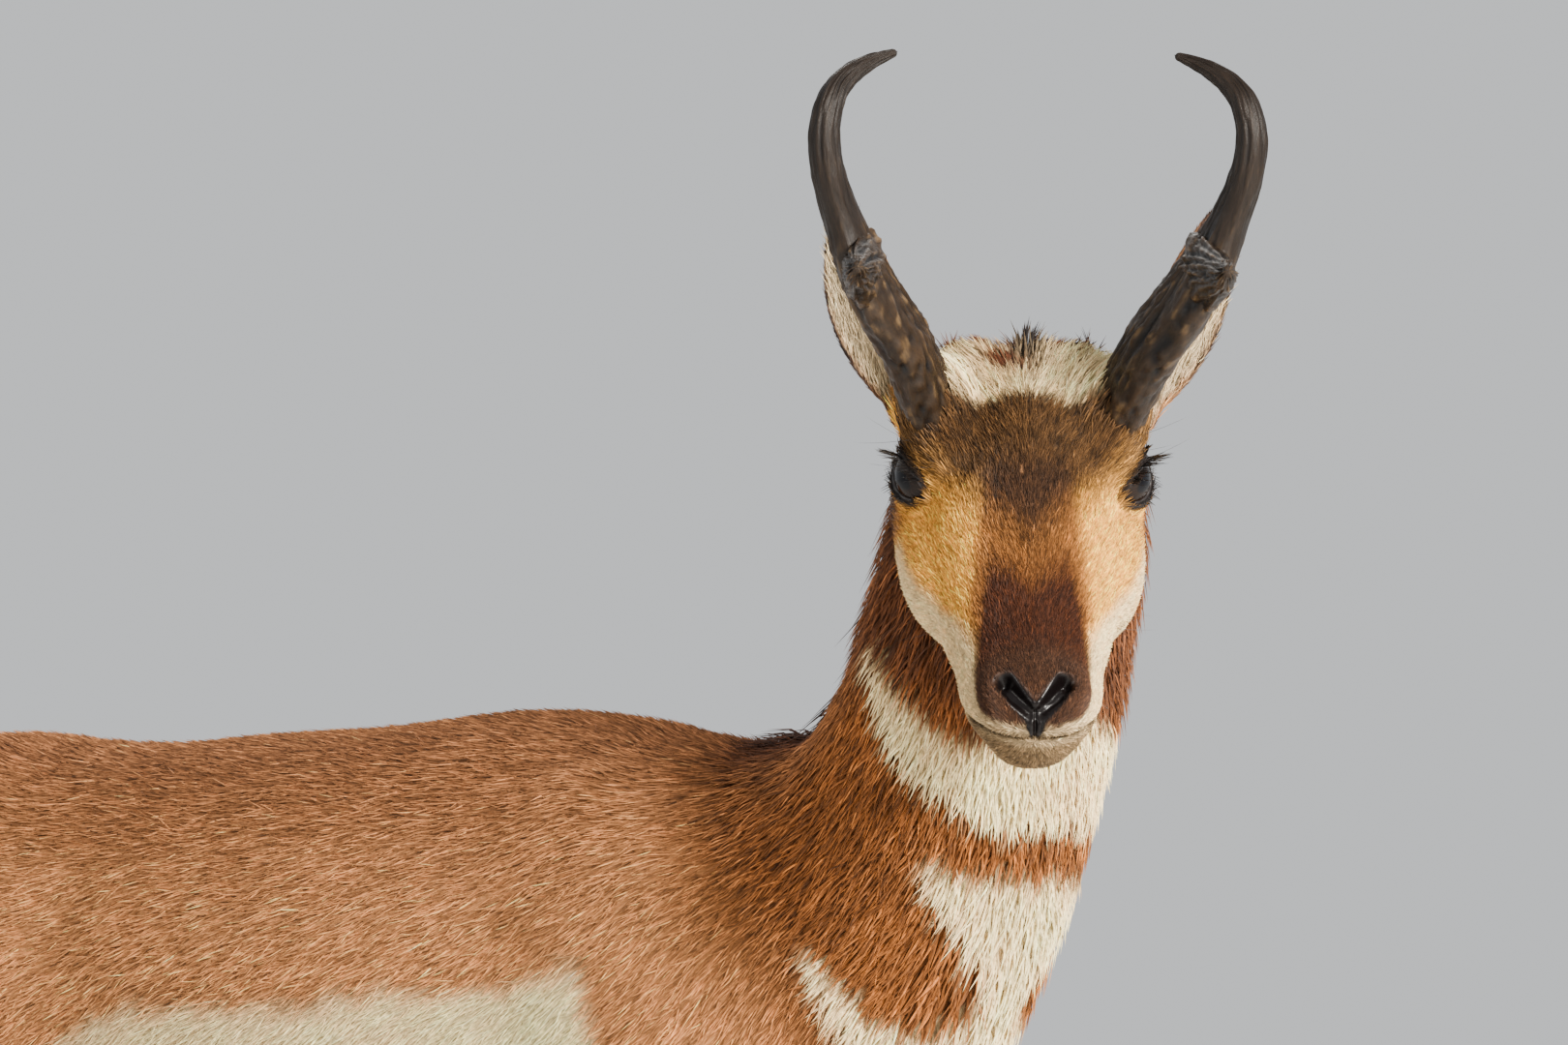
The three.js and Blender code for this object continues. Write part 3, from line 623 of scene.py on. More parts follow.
def build_skin():
    """One closed skin of trunk, head, legs, tail and ears, and the lofts that it is made from."""
    head = loft(HEAD, 300, 250, (14, 13), HEAD_BUMPS, -FACE_COAT, power=2.2, upper_power=1.75, cap_rings=14)
    head["points"] = from_head(sculpt_head(head["points"]))
    head["tips"] = from_head(head["tips"])
    head["tangent"] = head["tangent"] @ HEAD_TURN.T
    parts = {
        "trunk": loft(TRUNK, 230, 190, (52, 24), TRUNK_BUMPS, trunk_coat, power=2.15),
        "head": head,
        "tail": loft(TAIL, 60, 40, (6, 14), grow=-TAIL_COAT),
    }
    for name, rows, side, forward in LEGS:
        parts[name] = leg_loft(rows, side, forward)
    objects = [loft_object(name, lofted) for name, lofted in parts.items()]
    objects += [ear_object(1), ear_object(-1)]
    return union("skin", objects), parts


def triangles_of(obj):
    """Corner numbers of the triangles of a mesh."""
    mesh = obj.data
    mesh.calc_loop_triangles()
    corners = np.empty(len(mesh.loop_triangles) * 3, np.int32)
    mesh.loop_triangles.foreach_get("vertices", corners)
    return corners.reshape(-1, 3)


def face_crosses(points, faces):
    """The normal of each triangle, as long as twice its area."""
    a, b, c = (points[faces[:, k]] for k in range(3))
    return np.cross(b - a, c - a)


def vertex_normals(points, faces):
    """Area-weighted normals of the vertices."""
    cross = face_crosses(points, faces)
    normal = np.zeros_like(points)
    for k in range(3):
        np.add.at(normal, faces[:, k], cross)
    return unit(normal)


def lattice_noise(p, cell, salt):
    """Smooth noise from -1 to 1 at points, with features about the given size."""
    table = np.random.default_rng(700 + salt).uniform(-1, 1, (32, 32, 32))
    q = p / cell
    base = np.floor(q).astype(int)
    f = q - base
    f = f * f * (3 - 2 * f)
    total = 0
    for corner in np.ndindex(2, 2, 2):
        weight = np.prod([f[:, k] if corner[k] else 1 - f[:, k] for k in range(3)], axis=0)
        total = total + weight * table[tuple((base[:, k] + corner[k]) % 32 for k in range(3))]
    return total


LEG_NAMES = [leg[0] for leg in LEGS]
PARTS = ["trunk", "head", "tail", *LEG_NAMES, "ear_left", "ear_right"]
# Place of each part on the unwrap: lowest u and v, and extent in u and v
ISLANDS = {
    "trunk": (0.01, 0.5, 0.64, 0.48),
    "head": (0.01, 0.01, 0.42, 0.46),
    "tail": (0.45, 0.01, 0.12, 0.2),
    "foreleg_right": (0.66, 0.76, 0.32, 0.22),
    "foreleg_left": (0.66, 0.51, 0.32, 0.22),
    "hindleg_right": (0.66, 0.26, 0.32, 0.22),
    "hindleg_left": (0.66, 0.01, 0.32, 0.22),
    "ear_left": (0.45, 0.24, 0.18, 0.11),
    "ear_right": (0.45, 0.37, 0.18, 0.11),
}


def of_parts(chart, *names):
    """Which points belong to one of the named parts."""
    return np.isin(chart["part"], [PARTS.index(name) for name in names])


def chart_of_lofts(parts):
    """Points on the body, each with its part, row, angle, lie of the hair, unwrap place and flow."""
    made = []

    def add(name, point, row, angle, lie, share, turn, flow):
        u, v, wide, high = ISLANDS[name]
        uv = np.stack([u + wide * share, v + high * turn], -1)
        made.append((point, np.full(len(point), PARTS.index(name)), row, angle, lie, uv, flow))

    for name, lofted in parts.items():
        rings, sides = lofted["points"].shape[:2]
        row, run, tangent = (np.repeat(lofted[key], sides, axis=0) for key in ("row", "run", "tangent"))
        angle = np.tile(np.degrees(lofted["angle"]), rings)
        forward = 1 if name == "tail" or "leg" in name else -1
        radius = 60 if name in ("trunk", "head") else 20
        turn = np.radians(angle)
        flow = np.stack([radius * np.cos(turn), radius * np.sin(turn), run * 0.14], -1)
        point = lofted["points"].reshape(-1, 3)
        add(name, point, row, angle, forward * tangent, run / run.max(), angle / 360, flow)
    for name, side in (("ear_left", 1), ("ear_right", -1)):
        for face, grid in enumerate(ear_grids(side)):
            along, across = grid.shape[:2]
            j, i = (k.ravel() for k in pairs(np.arange(along), np.arange(across)))
            point = from_head(grid.reshape(-1, 3))
            axis = unit(point[j.argmax()] - point[0])
            share, turn = j / (along - 1), (i / (across - 1) + face) / 2
            flow = np.stack([i * 1.5, np.full(len(i), face * 50.0), j * 0.3], -1)
            add(name, point, share, turn * 360, np.repeat(axis[None], len(point), axis=0), share, turn, flow)
    keys = ("point", "part", "row", "angle", "lie", "uv", "flow")
    return {key: np.concatenate(values) for key, values in zip(keys, zip(*made))}


def nearest(cloud, points):
    """For each point, the number of the nearest point of the cloud."""
    tree = KDTree(len(cloud))
    for k, c in enumerate(cloud):
        tree.insert(c, k)
    tree.balance()
    return np.fromiter((tree.find(c)[1] for c in points), np.int64, len(points))


def smooth_creases(points, faces, chart):
    """Relaxes the vertices near a line where two parts meet, except on the ears' thin sheets."""
    spreads, rounds, strength = 5, 14, 0.6
    a, b = np.concatenate([faces[:, [0, 1]], faces[:, [1, 2]], faces[:, [2, 0]]]).T
    crossing = chart["part"][a] != chart["part"][b]
    soft = np.zeros(len(points))
    soft[a[crossing]] = 1
    soft[b[crossing]] = 1
    for _ in range(spreads):
        spread = np.zeros(len(points))
        np.maximum.at(spread, a, soft[b])
        soft = np.maximum(soft, spread * 0.85)
    soft[of_parts(chart, "ear_left", "ear_right")] = 0
    weight = (soft * strength)[:, None]
    count = np.maximum(np.bincount(a, minlength=len(points)), 1)[:, None]
    for _ in range(rounds):
        total = np.zeros_like(points)
        np.add.at(total, a, points[b])
        points = points + (total / count - points) * weight
    return points


def linear(*rgb):
    """A display colour given as 0 to 255, as linear light."""
    c = np.array(rgb, float) / 255
    return np.where(c > 0.04045, ((c + 0.055) / 1.055) ** 2.4, c / 12.92)


SANDY = linear(194, 132, 80)
BACK_BROWN = linear(150, 98, 60)
RUST = linear(130, 76, 32)
DARK_RUST = linear(82, 46, 27)
WHITE = linear(255, 223, 168)
GREY_WHITE = linear(206, 184, 146)
TAN_CHEEK = linear(234, 166, 68)
FOREHEAD = linear(50, 33, 22)
BRIDGE_TOP = linear(136, 84, 40)
BRIDGE = linear(62, 31, 14)
MUZZLE = linear(66, 42, 27)
CHIN = linear(128, 104, 72)
LIP = linear(160, 136, 100)
NEAR_BLACK = linear(22, 16, 14)
LEG_TAN = linear(194, 138, 86)
EAR_BACK = linear(112, 76, 48)
EAR_ORANGE = linear(176, 124, 80)
EAR_EDGE = linear(52, 37, 30)
EYE_BROWN = linear(26, 18, 14)
IRIS = linear(27, 17, 11)
PUPIL = linear(8, 8, 12)
HORN_TIP = linear(27, 18, 10)
HORN_BARK = linear(35, 24, 13)
# Pale flecks on the horn's raised bark, painted highlights
HORN_HIGHLIGHT_FLECK = linear(112, 88, 58)

# Edges of markings on the trunk, as places and values between which they run.
# By row: how far up from the belly the white of the flank reaches, and the width of the throat's shield
FLANK_TOP = [0, 2.4, 3.3, 3.6, 4.0, 4.8, 5.8, 7.4], [30, 46, 78, 90, 97, 100, 105, 107]
SHIELD_WIDTH = (
    [9.0, 9.25, 9.42, 9.55, 9.73, 9.83, 9.96, 10.11, 10.27, 10.4],
    [60, 30, 17, 11, 15, 25, 37, 49, 57, 58],
)
# By angle from the middle of the throat: rows of the crescent's two edges and of the low stripe
CRESCENT_LOW = [0, 14, 26, 40, 62, 87, 102, 118], [10.70, 10.70, 10.66, 10.68, 10.78, 10.97, 11.2, 11.6]
CRESCENT_HIGH = [0, 45, 57, 82, 102, 118], [11.6, 11.3, 11.25, 11.38, 11.6, 11.72]
STRIPE_LOW = [30, 47, 58, 72, 84], [8.7, 8.99, 9.04, 9.11, 9.25]
# Edges of markings on the head by x: the white of the cheek, and the width and lower edge of the bridge
CHEEK_TOP = [20, 50, 92, 112, 128, 160], [-26, -22, -17, -9, -6, -7]
BRIDGE_WIDTH = [40, 80, 110, 150, 170], [14, 20, 26, 32, 34]
BRIDGE_DOWN = [40, 80, 123, 145, 190], [24, 14, -4, -12, -13]


def painted(colour, *layers):
    """The colour under layers laid on in order, each a colour and its share at every point."""
    for patch, share in layers:
        colour = colour + (patch - colour) * np.clip(share, 0, 1)[:, None]
    return colour


def body_colour(p, row, angle, wobble):
    """Markings of the trunk by row and by angle from the middle of the belly and throat."""
    below = np.abs((angle - 270 + 180) % 360 - 180) + 3 * wobble
    r = row + 0.05 * wobble
    neck = ease(8.0, 9.4, r)
    # Belly and flank, with an upright front border behind the shoulder
    top = np.interp(r, *FLANK_TOP)
    flank = ease(top + 4, top - 4, below) * ease(7.56, 7.42, r)
    brisket = ease(46, 36, below) * ease(9.3, 9.1, r)
    # Rump patch round the tail, down to the back of the thighs
    rump = ease(152, 136, np.linalg.norm((p - [-462, 0, 716]) / [1.0, 1.0, 1.25], axis=1) + 5 * wobble)
    # Throat: a crescent under the jaw, a shield below it, and a stripe out from the breast
    low_edge, high_edge = np.interp(below, *CRESCENT_LOW), np.interp(below, *CRESCENT_HIGH)
    crescent = ease(low_edge - 0.03, low_edge + 0.03, r) * ease(high_edge + 0.04, high_edge - 0.04, r)
    crescent = crescent * ease(123, 115, below)
    wide = np.interp(r, *SHIELD_WIDTH)
    shield = ease(wide + 3, wide - 3, below) * ease(10.4, 10.32, r + 0.0012 * below) * ease(9.0, 9.1, r)
    low_stripe = np.interp(below, *STRIPE_LOW)
    stripe = ease(low_stripe - 0.03, low_stripe + 0.03, r) * ease(9.27, 9.2, r) * ease(86, 78, below)
    spine = ease(14, 6, np.abs(p[:, 1])) * ease(-330, -360, p[:, 0]) * ease(770, 790, p[:, 2])
    return painted(
        SANDY,
        (RUST, neck),
        (BACK_BROWN, ease(112, 165, below) * (1 - 0.35 * neck)),
        (DARK_RUST, ease(148, 168, below) * ease(8.2, 9.6, r) * 0.85),
        (DARK_RUST, ease(11.1, 11.9, r) * 0.7),
        (WHITE, np.max([flank, brisket, rump, crescent, shield, stripe], axis=0)),
        (DARK_RUST * 0.5, nape(row, angle) * 0.9),
        (BACK_BROWN, spine * 0.8),
    )


def crown_tuft(h):
    """Share of the small dark tuft that stands on the crown, at places in the head's frame."""
    return bell((h[:, 0] + 57) / 8, (h[:, 1] - 3) / 7) * (h[:, 2] > 20)


def nape(row, angle):
    """Share of the mane along the nape."""
    return ease(13, 7, np.abs(angle - 90)) * ease(9.2, 9.9, row) * ease(13.95, 13.7, row)


def mouth_line(h, half_width):
    """Share of the groove of the mouth."""
    return bell((h[:, 2] - mouth_level(h[:, 0])) / half_width) * ease(103, 110, h[:, 0])


def head_colour(h, wobble):
    """Markings of the head in its own frame, with painted shade above the eyes and inside the nostrils."""
    x, m, z = h[:, 0] + 2.5 * wobble, np.abs(h[:, 1]), h[:, 2] + 1.5 * wobble
    half = np.interp(x, [45, 75, 110], [24, 28, 33])
    stripe = ease(half + 5, half - 4, m) * ease(15, 50, x) * ease(-12, 0, z)
    top, behind = np.interp(x, *CHEEK_TOP), 28 + (z + 20) * 0.35
    cheek = ease(top + 4, top - 6, z) * ease(behind - 4, behind + 9, x)
    cheek = cheek * (1 - 0.35 * ease(0.1, 0.9, lattice_noise(h, 3.0, 6)) * ease(-4, -30, z))
    fleck = (1 - 0.4 * ease(0.2, 0.8, lattice_noise(h, 1.7, 21)))[:, None]
    jaw_patch = np.exp(-1.2 * (((x + 10) / 24) ** 2 + ((z + 46) / 18) ** 2))
    wide, down = np.interp(x, *BRIDGE_WIDTH), np.interp(x, *BRIDGE_DOWN)
    bridge = ease(wide + 6, wide - 4, m) * ease(down - 3, down + 4, z) * ease(80, 122, x + 0.9 * m)
    crown = ease(-6, -16, x) * ease(26, 38, z)
    crown_rust = bell((x + 45) / 11, (h[:, 1] + 8) / 17)
    colour = painted(
        TAN_CHEEK,
        (BRIDGE_TOP, stripe * 0.9),
        (FOREHEAD, ease(108, 64, x + 1.2 * m) * ease(2, 20, z) * 0.95),
        (RUST, ease(-8, -20, z) * ease(30, 10, x) * 0.7),
        (WHITE * (0.86 * fleck), cheek),
        (RUST, ease(-38, -56, x) * ease(40, 20, z)),
        (DARK_RUST * 0.5, jaw_patch * 1.4),
        (BRIDGE, bridge),
        (MUZZLE, ease(140, 160, x) * ease(-15, -10, z) * ease(33, 28, m)),
        (LIP * fleck, ease(150, 168, x) * ease(-12, -16, z) * ease(36, 22, m)),
        (CHIN * fleck, ease(155, 172, x) * ease(-22, -27, z)),
        (WHITE * 0.9, crown * ease(-66, -54, x)),
        (DARK_RUST, ease(-54, -66, x) * ease(10, 30, z)),
        # A dark patch above each eye: painted shade in the fold under the brow
        (FOREHEAD * 0.8, bell((x - 2) / 17, (m - 52) / 13, (z - 24) / 12)),
        (DARK_RUST * 1.3, crown_rust * crown * 1.2),
        (NEAR_BLACK * 1.5, crown_tuft(h) * 1.2),
    )
    streaks = 0.45 * lattice_noise(h, 3.2, 5) + 0.55 * lattice_noise(h, 1.7, 22)
    grizzle = 1 + streaks * ease(104, 60, x + 1.3 * m) * ease(0, 20, z)
    colour = colour * grizzle[:, None]
    for side in (-1, 1):
        colour = painted(
            colour,
            (NEAR_BLACK, eye_patch(h, side, 5, 6, 1.12, 0.8)),
            # Nostrils and the hollows behind them near black: dark lining, with painted shade inside the
            # holes
            (NEAR_BLACK * 0.4, ease(7.5, 5.5, nostril_distance(h, side))),
        )
    half = np.interp(z, [-24, -18, -8], [0.8, 2.6, 6.0])
    split = ease(half + 0.9, half - 0.5, m) * ease(176, 182, x) * ease(-1, 1, z - mouth_level(x))
    return painted(colour, (NEAR_BLACK * 0.4, split * ease(-2, -6, z)), (NEAR_BLACK, mouth_line(h, 1.6)))


def leg_colour(p, name, angle, wobble):
    """Tan outside, white inside and behind."""
    side = -1 if name.endswith("right") else 1
    white = ease(0.05, 0.45, -side * np.cos(np.radians(angle)) + 0.15 * wobble)
    if name.startswith("hind"):
        behind = -np.sin(np.radians(angle)) + 0.15 * wobble
        white = np.maximum(white, ease(0.55, 0.9, behind) * ease(430, 520, p[:, 2]))
    z = p[:, 2]
    return painted(LEG_TAN, (SANDY, ease(300, 520, z)), (WHITE, white), (DARK_RUST, ease(66, 50, z) * 0.7))


def ear_colour(share, angle):
    """Brown backs, a grey white cup with an orange rim, and dark edges and tips."""
    inner = angle > 180
    edge = np.abs(((angle / 180) % 1) * 2 - 1)
    dark = np.maximum(ease(0.955, 0.995, edge) * ease(0.1, 0.4, share), ease(0.72, 0.9, share))
    base = np.where(inner[:, None], GREY_WHITE, EAR_BACK)
    return painted(base, (EAR_ORANGE, ease(0.9, 0.99, edge) * inner), (EAR_EDGE, dark))


def coat_colours(p, chart):
    """The coat's colour at points of the skin."""
    wobble = lattice_noise(p, 14.0, 1) + 0.6 * lattice_noise(p, 5.0, 2)
    colour = np.zeros((len(p), 3))
    for name in PARTS:
        here = of_parts(chart, name)
        q, row, angle, w = p[here], chart["row"][here], chart["angle"][here], wobble[here]
        if name == "trunk":
            colour[here] = body_colour(q, row, angle, w)
        elif name == "head":
            colour[here] = head_colour(to_head(q), w)
        elif name == "tail":
            brown = ease(110, 70, np.abs(angle - 90) + 20 * w) * ease(690, 760, q[:, 2])
            colour[here] = painted(WHITE, (BACK_BROWN, brown))
        elif name in LEG_NAMES:
            colour[here] = leg_colour(q, name, angle, w)
        else:
            colour[here] = ear_colour(row, angle)
    mottle = 1 + 0.1 * lattice_noise(p, 26.0, 3) + 0.06 * lattice_noise(p, 7.0, 4)
    return np.clip(colour * mottle[:, None], 0.002, 0.95)


def horn_collar(h, side):
    """Share of a collar round the foot of a horn, and the way the horn goes there."""
    foot = np.array([row[:3] for row in mirrored(HORN[:3], side)])
    distance, _ = near_line(h, foot)
    return bell((distance - 20) / 8), unit(foot[2] - foot[0])


def lie_of_hair(p, normal, chart):
    """The way the hair lies: back along the body and down the flanks, and from the nose up the face."""
    lie = chart["lie"].copy()
    trunk, head = of_parts(chart, "trunk"), of_parts(chart, "head")
    fall = np.interp((p[:, 2] - 540) / 330, [0, 0.35, 0.75, 1], [1.5, 1.0, 0.45, 0.1])
    lie[trunk, 2] -= (fall * (1 - ease(8.5, 9.6, chart["row"])))[trunk]
    h = to_head(p)
    fan = np.zeros_like(h)
    fan[:, 0] = -1 + 0.4 * lattice_noise(h, 12.0, 15)
    fan[:, 1] = h[:, 1] / (np.abs(h[:, 1]) + 10) * (0.3 + 0.6 * ease(40, -10, h[:, 0]))
    fan[:, 2] = 0.25 * ease(0, 30, h[:, 2]) - 0.5 * ease(-5, -30, h[:, 2])
    for side in (-1, 1):
        collar, way = horn_collar(h, side)
        fan += way * (2.0 * collar)[:, None]
    lie[head] = (fan @ HEAD_TURN.T)[head]
    lie = lie + 0.16 * np.stack([lattice_noise(p, 30.0, 11 + k) for k in range(3)], -1)
    return along_skin(lie, normal)


def hair_fields(p, chart):
    """Hair by region: length, width, lift as a share of the length, how thickly it grows, and bare places."""
    row, angle, height = chart["row"], chart["angle"], p[:, 2]
    length, width, lift, dense = fields = np.empty((4, len(p)))

    def grow(where, *values):
        for field, value in zip(fields, values):
            field[where] = np.broadcast_to(value, len(p))[where]

    neck, throat = ease(8.4, 9.6, row), ease(10.9, 12, row)
    mane = nape(row, angle)
    breast = ease(50, 20, np.abs(angle - 270)) * ease(8.2, 8.8, row) * ease(10.6, 9.8, row)
    rear, under = ease(-340, -400, p[:, 0]), ease(600, 560, height)
    grow(
        of_parts(chart, "trunk"),
        12.5 + 4 * neck + 5.5 * throat + (8 * rear + 8 * under + 9 * breast + 22 * mane),
        1.4 + (0.5 * rear + 0.7 * under + 0.5 * breast + 0.6 * mane),
        0.2 + 0.04 * neck + 0.06 * throat + 0.05 * mane,
        1 + (1.4 * mane - 0.35 * under),
    )
    h = to_head(p)
    x, m, z = h[:, 0], np.abs(h[:, 1]), h[:, 2]
    tuft = crown_tuft(h)
    crown = ease(-5, -25, x) * ease(25, 40, z)
    back = ease(-18, -55, x) * (1 - crown)
    collar = horn_collar(h, -1)[0] + horn_collar(h, 1)[0]
    face = 6 + 3 * ease(40, -10, x) + 3 * crown + 9 * tuft
    face = face + 4 * ease(-20, -50, z) * ease(80, 20, x) - 3 * ease(115, 165, x)
    face = face + 9 * back + 5 * collar
    head = of_parts(chart, "head")
    head_lift = 0.17 + 0.03 * crown + 0.6 * tuft + 0.15 * collar + 0.05 * back
    grow(head, face, 0.55 + 0.05 * face, head_lift, 1.25 + 2 * tuft)
    upper = ease(250, 520, height)
    leg_length = 6 + 7 * upper + 6 * ease(72, 56, height)
    grow(of_parts(chart, *LEG_NAMES), leg_length, 1.1 + 0.4 * upper, 0.12, 0.55)
    grow(of_parts(chart, "tail"), 30, 2.0, 0.2, 1)
    ear = of_parts(chart, "ear_left", "ear_right")
    grow(ear, 5.5, 0.8, 0.12, 0.9)
    grow(ear & (angle > 180), 10, 0.8, 0.24, 0.8)
    # Bare places: nose, nostrils, lids and the eye openings
    spots = [ease(178, 184, x) * ease(5, 2, m) * ease(-22, -18, z)]
    for side in (-1, 1):
        spots += [eye_patch(h, side, 1.5, 1.5, 1.06, 0.98), ease(7.5, 6, nostril_distance(h, side))]
    bare = np.max(spots, axis=0) * head
    return length, width, lift, dense * (1 - bare) * (1 - 0.9 * (mouth_line(h, 1.4) * head)), bare


def add_colours(mesh, colour):
    layer = mesh.color_attributes.new("coat", "FLOAT_COLOR", "POINT")
    layer.data.foreach_set("color", single(np.concatenate([colour, np.ones((len(colour), 1))], 1)))


def add_flow(mesh, flow):
    """Straightened places, along which the streaks of a material run."""
    mesh.attributes.new("flow", "FLOAT_VECTOR", "POINT").data.foreach_set("vector", single(flow))


def settle(tree, made, **settings):
    """Sets properties and inputs of a node; an input takes a value or a link from an output."""
    for key, value in settings.items():
        if isinstance(value, bpy.types.NodeSocket):
            tree.links.new(value, made.inputs[key.replace("_", " ")])
        elif hasattr(made, key) and key not in made.inputs:
            setattr(made, key, value)
        else:
            made.inputs[key.replace("_", " ")].default_value = value
    return made


def node(tree, kind, **settings):
    return settle(tree, tree.nodes.new("ShaderNode" + kind), **settings)


def noise(tree, place, **settings):
    return node(tree, "TexNoise", Vector=place, **settings).outputs[0]


def mixed(tree, kind, factor, a, b):
    """A mix of two colours; each input is a socket or a value."""
    made = node(tree, "Mix", data_type="RGBA", blend_type=kind)
    for socket, value in ((made.inputs[0], factor), (made.inputs[6], a), (made.inputs[7], b)):
        if isinstance(value, bpy.types.NodeSocket):
            tree.links.new(value, socket)
        else:
            socket.default_value = value
    return made.outputs[2]


def ramp(tree, source, low, high):
    """Grey between two stops, each a place and a value."""
    made = node(tree, "ValToRGB")
    for element, (place, value) in zip(made.color_ramp.elements, (low, high)):
        element.position = place
        element.color = (value, value, value, 1)
    tree.links.new(source, made.inputs[0])
    return made.outputs[0]


def new_material(name, **values):
    """A material with a Principled shader, whose sockets take the given values."""
    material = bpy.data.materials.new(name)
    material.use_nodes = True
    tree = material.node_tree
    return material, tree, settle(tree, tree.nodes["Principled BSDF"], **values)


def surface(name, grain, low, high, base=None, flow=False, bump=None, shine=None, **values):
    """A material whose colour varies with noise between two stops.

    The colour is the mesh's own unless a base is given. The noise runs in the object's own space or along the
    stored flow. A bump has a strength and a distance, and shine has two stops for the roughness.
    """
    material, tree, shader = new_material(name, **values)
    if base is None:
        base = node(tree, "Attribute", attribute_name="coat").outputs["Color"]
    if flow:
        place = node(tree, "Attribute", attribute_name="flow").outputs["Vector"]
    else:
        place = node(tree, "TexCoord").outputs["Object"]
    speck = noise(tree, place, **grain)
    settle(tree, shader, Base_Color=mixed(tree, "MULTIPLY", 1.0, base, ramp(tree, speck, low, high)))
    if shine:
        settle(tree, shader, Roughness=ramp(tree, speck, *shine))
    if bump:
        height = node(tree, "Bump", Strength=bump[0], Distance=bump[1], Height=speck)
        settle(tree, shader, Normal=height.outputs[0])
    return material


def skin_material():
    """Skin seen between the tufts: the coat's colour streaked along the lie of the hair and darkened on
    average as painted shade under the tufts, and wet where the nose is bare.
    """
    material, tree, shader = new_material("skin", Specular_IOR_Level=0.2)
    coat, flow, bare = (node(tree, "Attribute", attribute_name=name) for name in ("coat", "flow", "bare"))
    coat, flow, bare = coat.outputs["Color"], flow.outputs["Vector"], bare.outputs["Fac"]
    streak = noise(tree, flow, Scale=1.5, Detail=4.0, Roughness=0.65)
    # The coat's colour with streaks, and darker on average: painted shade under the tufts
    fur_with_painted_shade = mixed(tree, "MULTIPLY", 1.0, coat, ramp(tree, streak, (0.3, 0.42), (0.7, 1.05)))
    pebble = noise(tree, node(tree, "TexCoord").outputs["Object"], Scale=700.0, Detail=3.0)
    relief = mixed(tree, "MIX", bare, streak, ramp(tree, pebble, (0.0, 0.42), (1.0, 0.58)))
    height = node(tree, "Bump", Strength=0.6, Distance=0.0012, Height=relief)
    wet = ramp(tree, bare, (0.0, 0.78), (1.0, 0.3))
    tint = mixed(tree, "MIX", bare, fur_with_painted_shade, coat)
    settle(tree, shader, Base_Color=tint, Roughness=wet, Normal=height.outputs[0])
    return material


def dark_material(name, rgb, scale, low, high, bump, roughness):
    """A plain dark material with fine relief, for lids, lashes and hooves."""
    grain = {"Scale": scale, "Detail": 5.0, "Roughness": 0.6}
    base = (*linear(*rgb), 1)
    return surface(name, grain, (0.3, low), (0.7, high), base, bump=bump, Roughness=roughness)


def put(obj, material, slot, *nodes):
    """Dresses a piece, fastens it to the body and hides the parts that it replaces."""
    obj.data.materials.clear()
    obj.data.materials.append(material)
    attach(obj, "root")
    if nodes:
        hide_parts(*nodes)


# Size of a tuft's patch on the unwrap, the most faces in one piece of the coat, and how many tufts grow
PATCH = 0.003
PIECE_FACES = 190000
STRAIGHT_TUFTS = 262000
BENT_TUFTS = 30000
# Faces of a tuft by the numbers of its corners, and how light the corners are from root to tip: darker at the
# root, a painted shade where the hairs cover one another, and lighter towards the tip
STRAIGHT = [[0, 2, 1], [0, 1, 3], [1, 2, 3], [2, 0, 3]], [0.58, 0.58, 0.68, 1.2]
BENT = (
    [
        [0, 2, 1], [0, 1, 4], [0, 4, 3], [1, 2, 5], [1, 5, 4],
        [2, 0, 3], [2, 3, 5], [3, 4, 6], [4, 5, 6], [5, 3, 6],
    ],
    [0.6, 0.6, 0.68, 0.92, 0.92, 1.0, 1.2],
)


def tuft_mesh(name, shape, root, normal, lie, length, width, lift, colour, uv, material):
    """Closed, tapered tufts of one shape as one object."""
    pattern, painted_shade = shape
    across = np.cross(normal, lie)
    length, width, lift = (k[:, None] for k in (length, width, lift))
    thick, half, sink, rise = 0.38 * width, 0.5 * width, 0.35 * width, lift * length
    sunk = root - normal * sink
    ring = [sunk - across * half, sunk + across * half, sunk + normal * (thick + sink)]
    if shape is BENT:
        middle = root + lie * length * 0.45 + normal * (rise * 0.7)
        ring += [middle - across * half * 0.75, middle + across * half * 0.75, middle + normal * thick * 0.8]
        tip = root + lie * length * 0.96 + normal * rise
    else:
        tip = root + lie * length * np.sqrt(1 - lift**2) + normal * rise
    corners = len(painted_shade)
    faces = copies(pattern, corners, len(root))
    obj = mesh_object(name, np.stack([*ring, tip], 1).reshape(-1, 3), faces, smooth=False)
    # Painted shade: each corner's colour is darkened at the root and lightened towards the tip
    painted_shades = np.array(painted_shade)[None, :, None]
    add_colours(obj.data, np.clip(colour[:, None] * painted_shades, 0, 1).reshape(-1, 3))
    spot = np.zeros((corners, 2))
    spot[0::3, 0], spot[1::3, 0] = -PATCH / 2, PATCH / 2
    spot[:, 1] = np.linspace(-PATCH / 2, PATCH / 2, corners)
    place = (uv[:, None] + spot).reshape(-1, 2)
    obj.data.uv_layers.new(name="OFBake").data.foreach_set("uv", single(place[faces.ravel()]))
    obj.data.materials.append(material)
    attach(obj, "root")


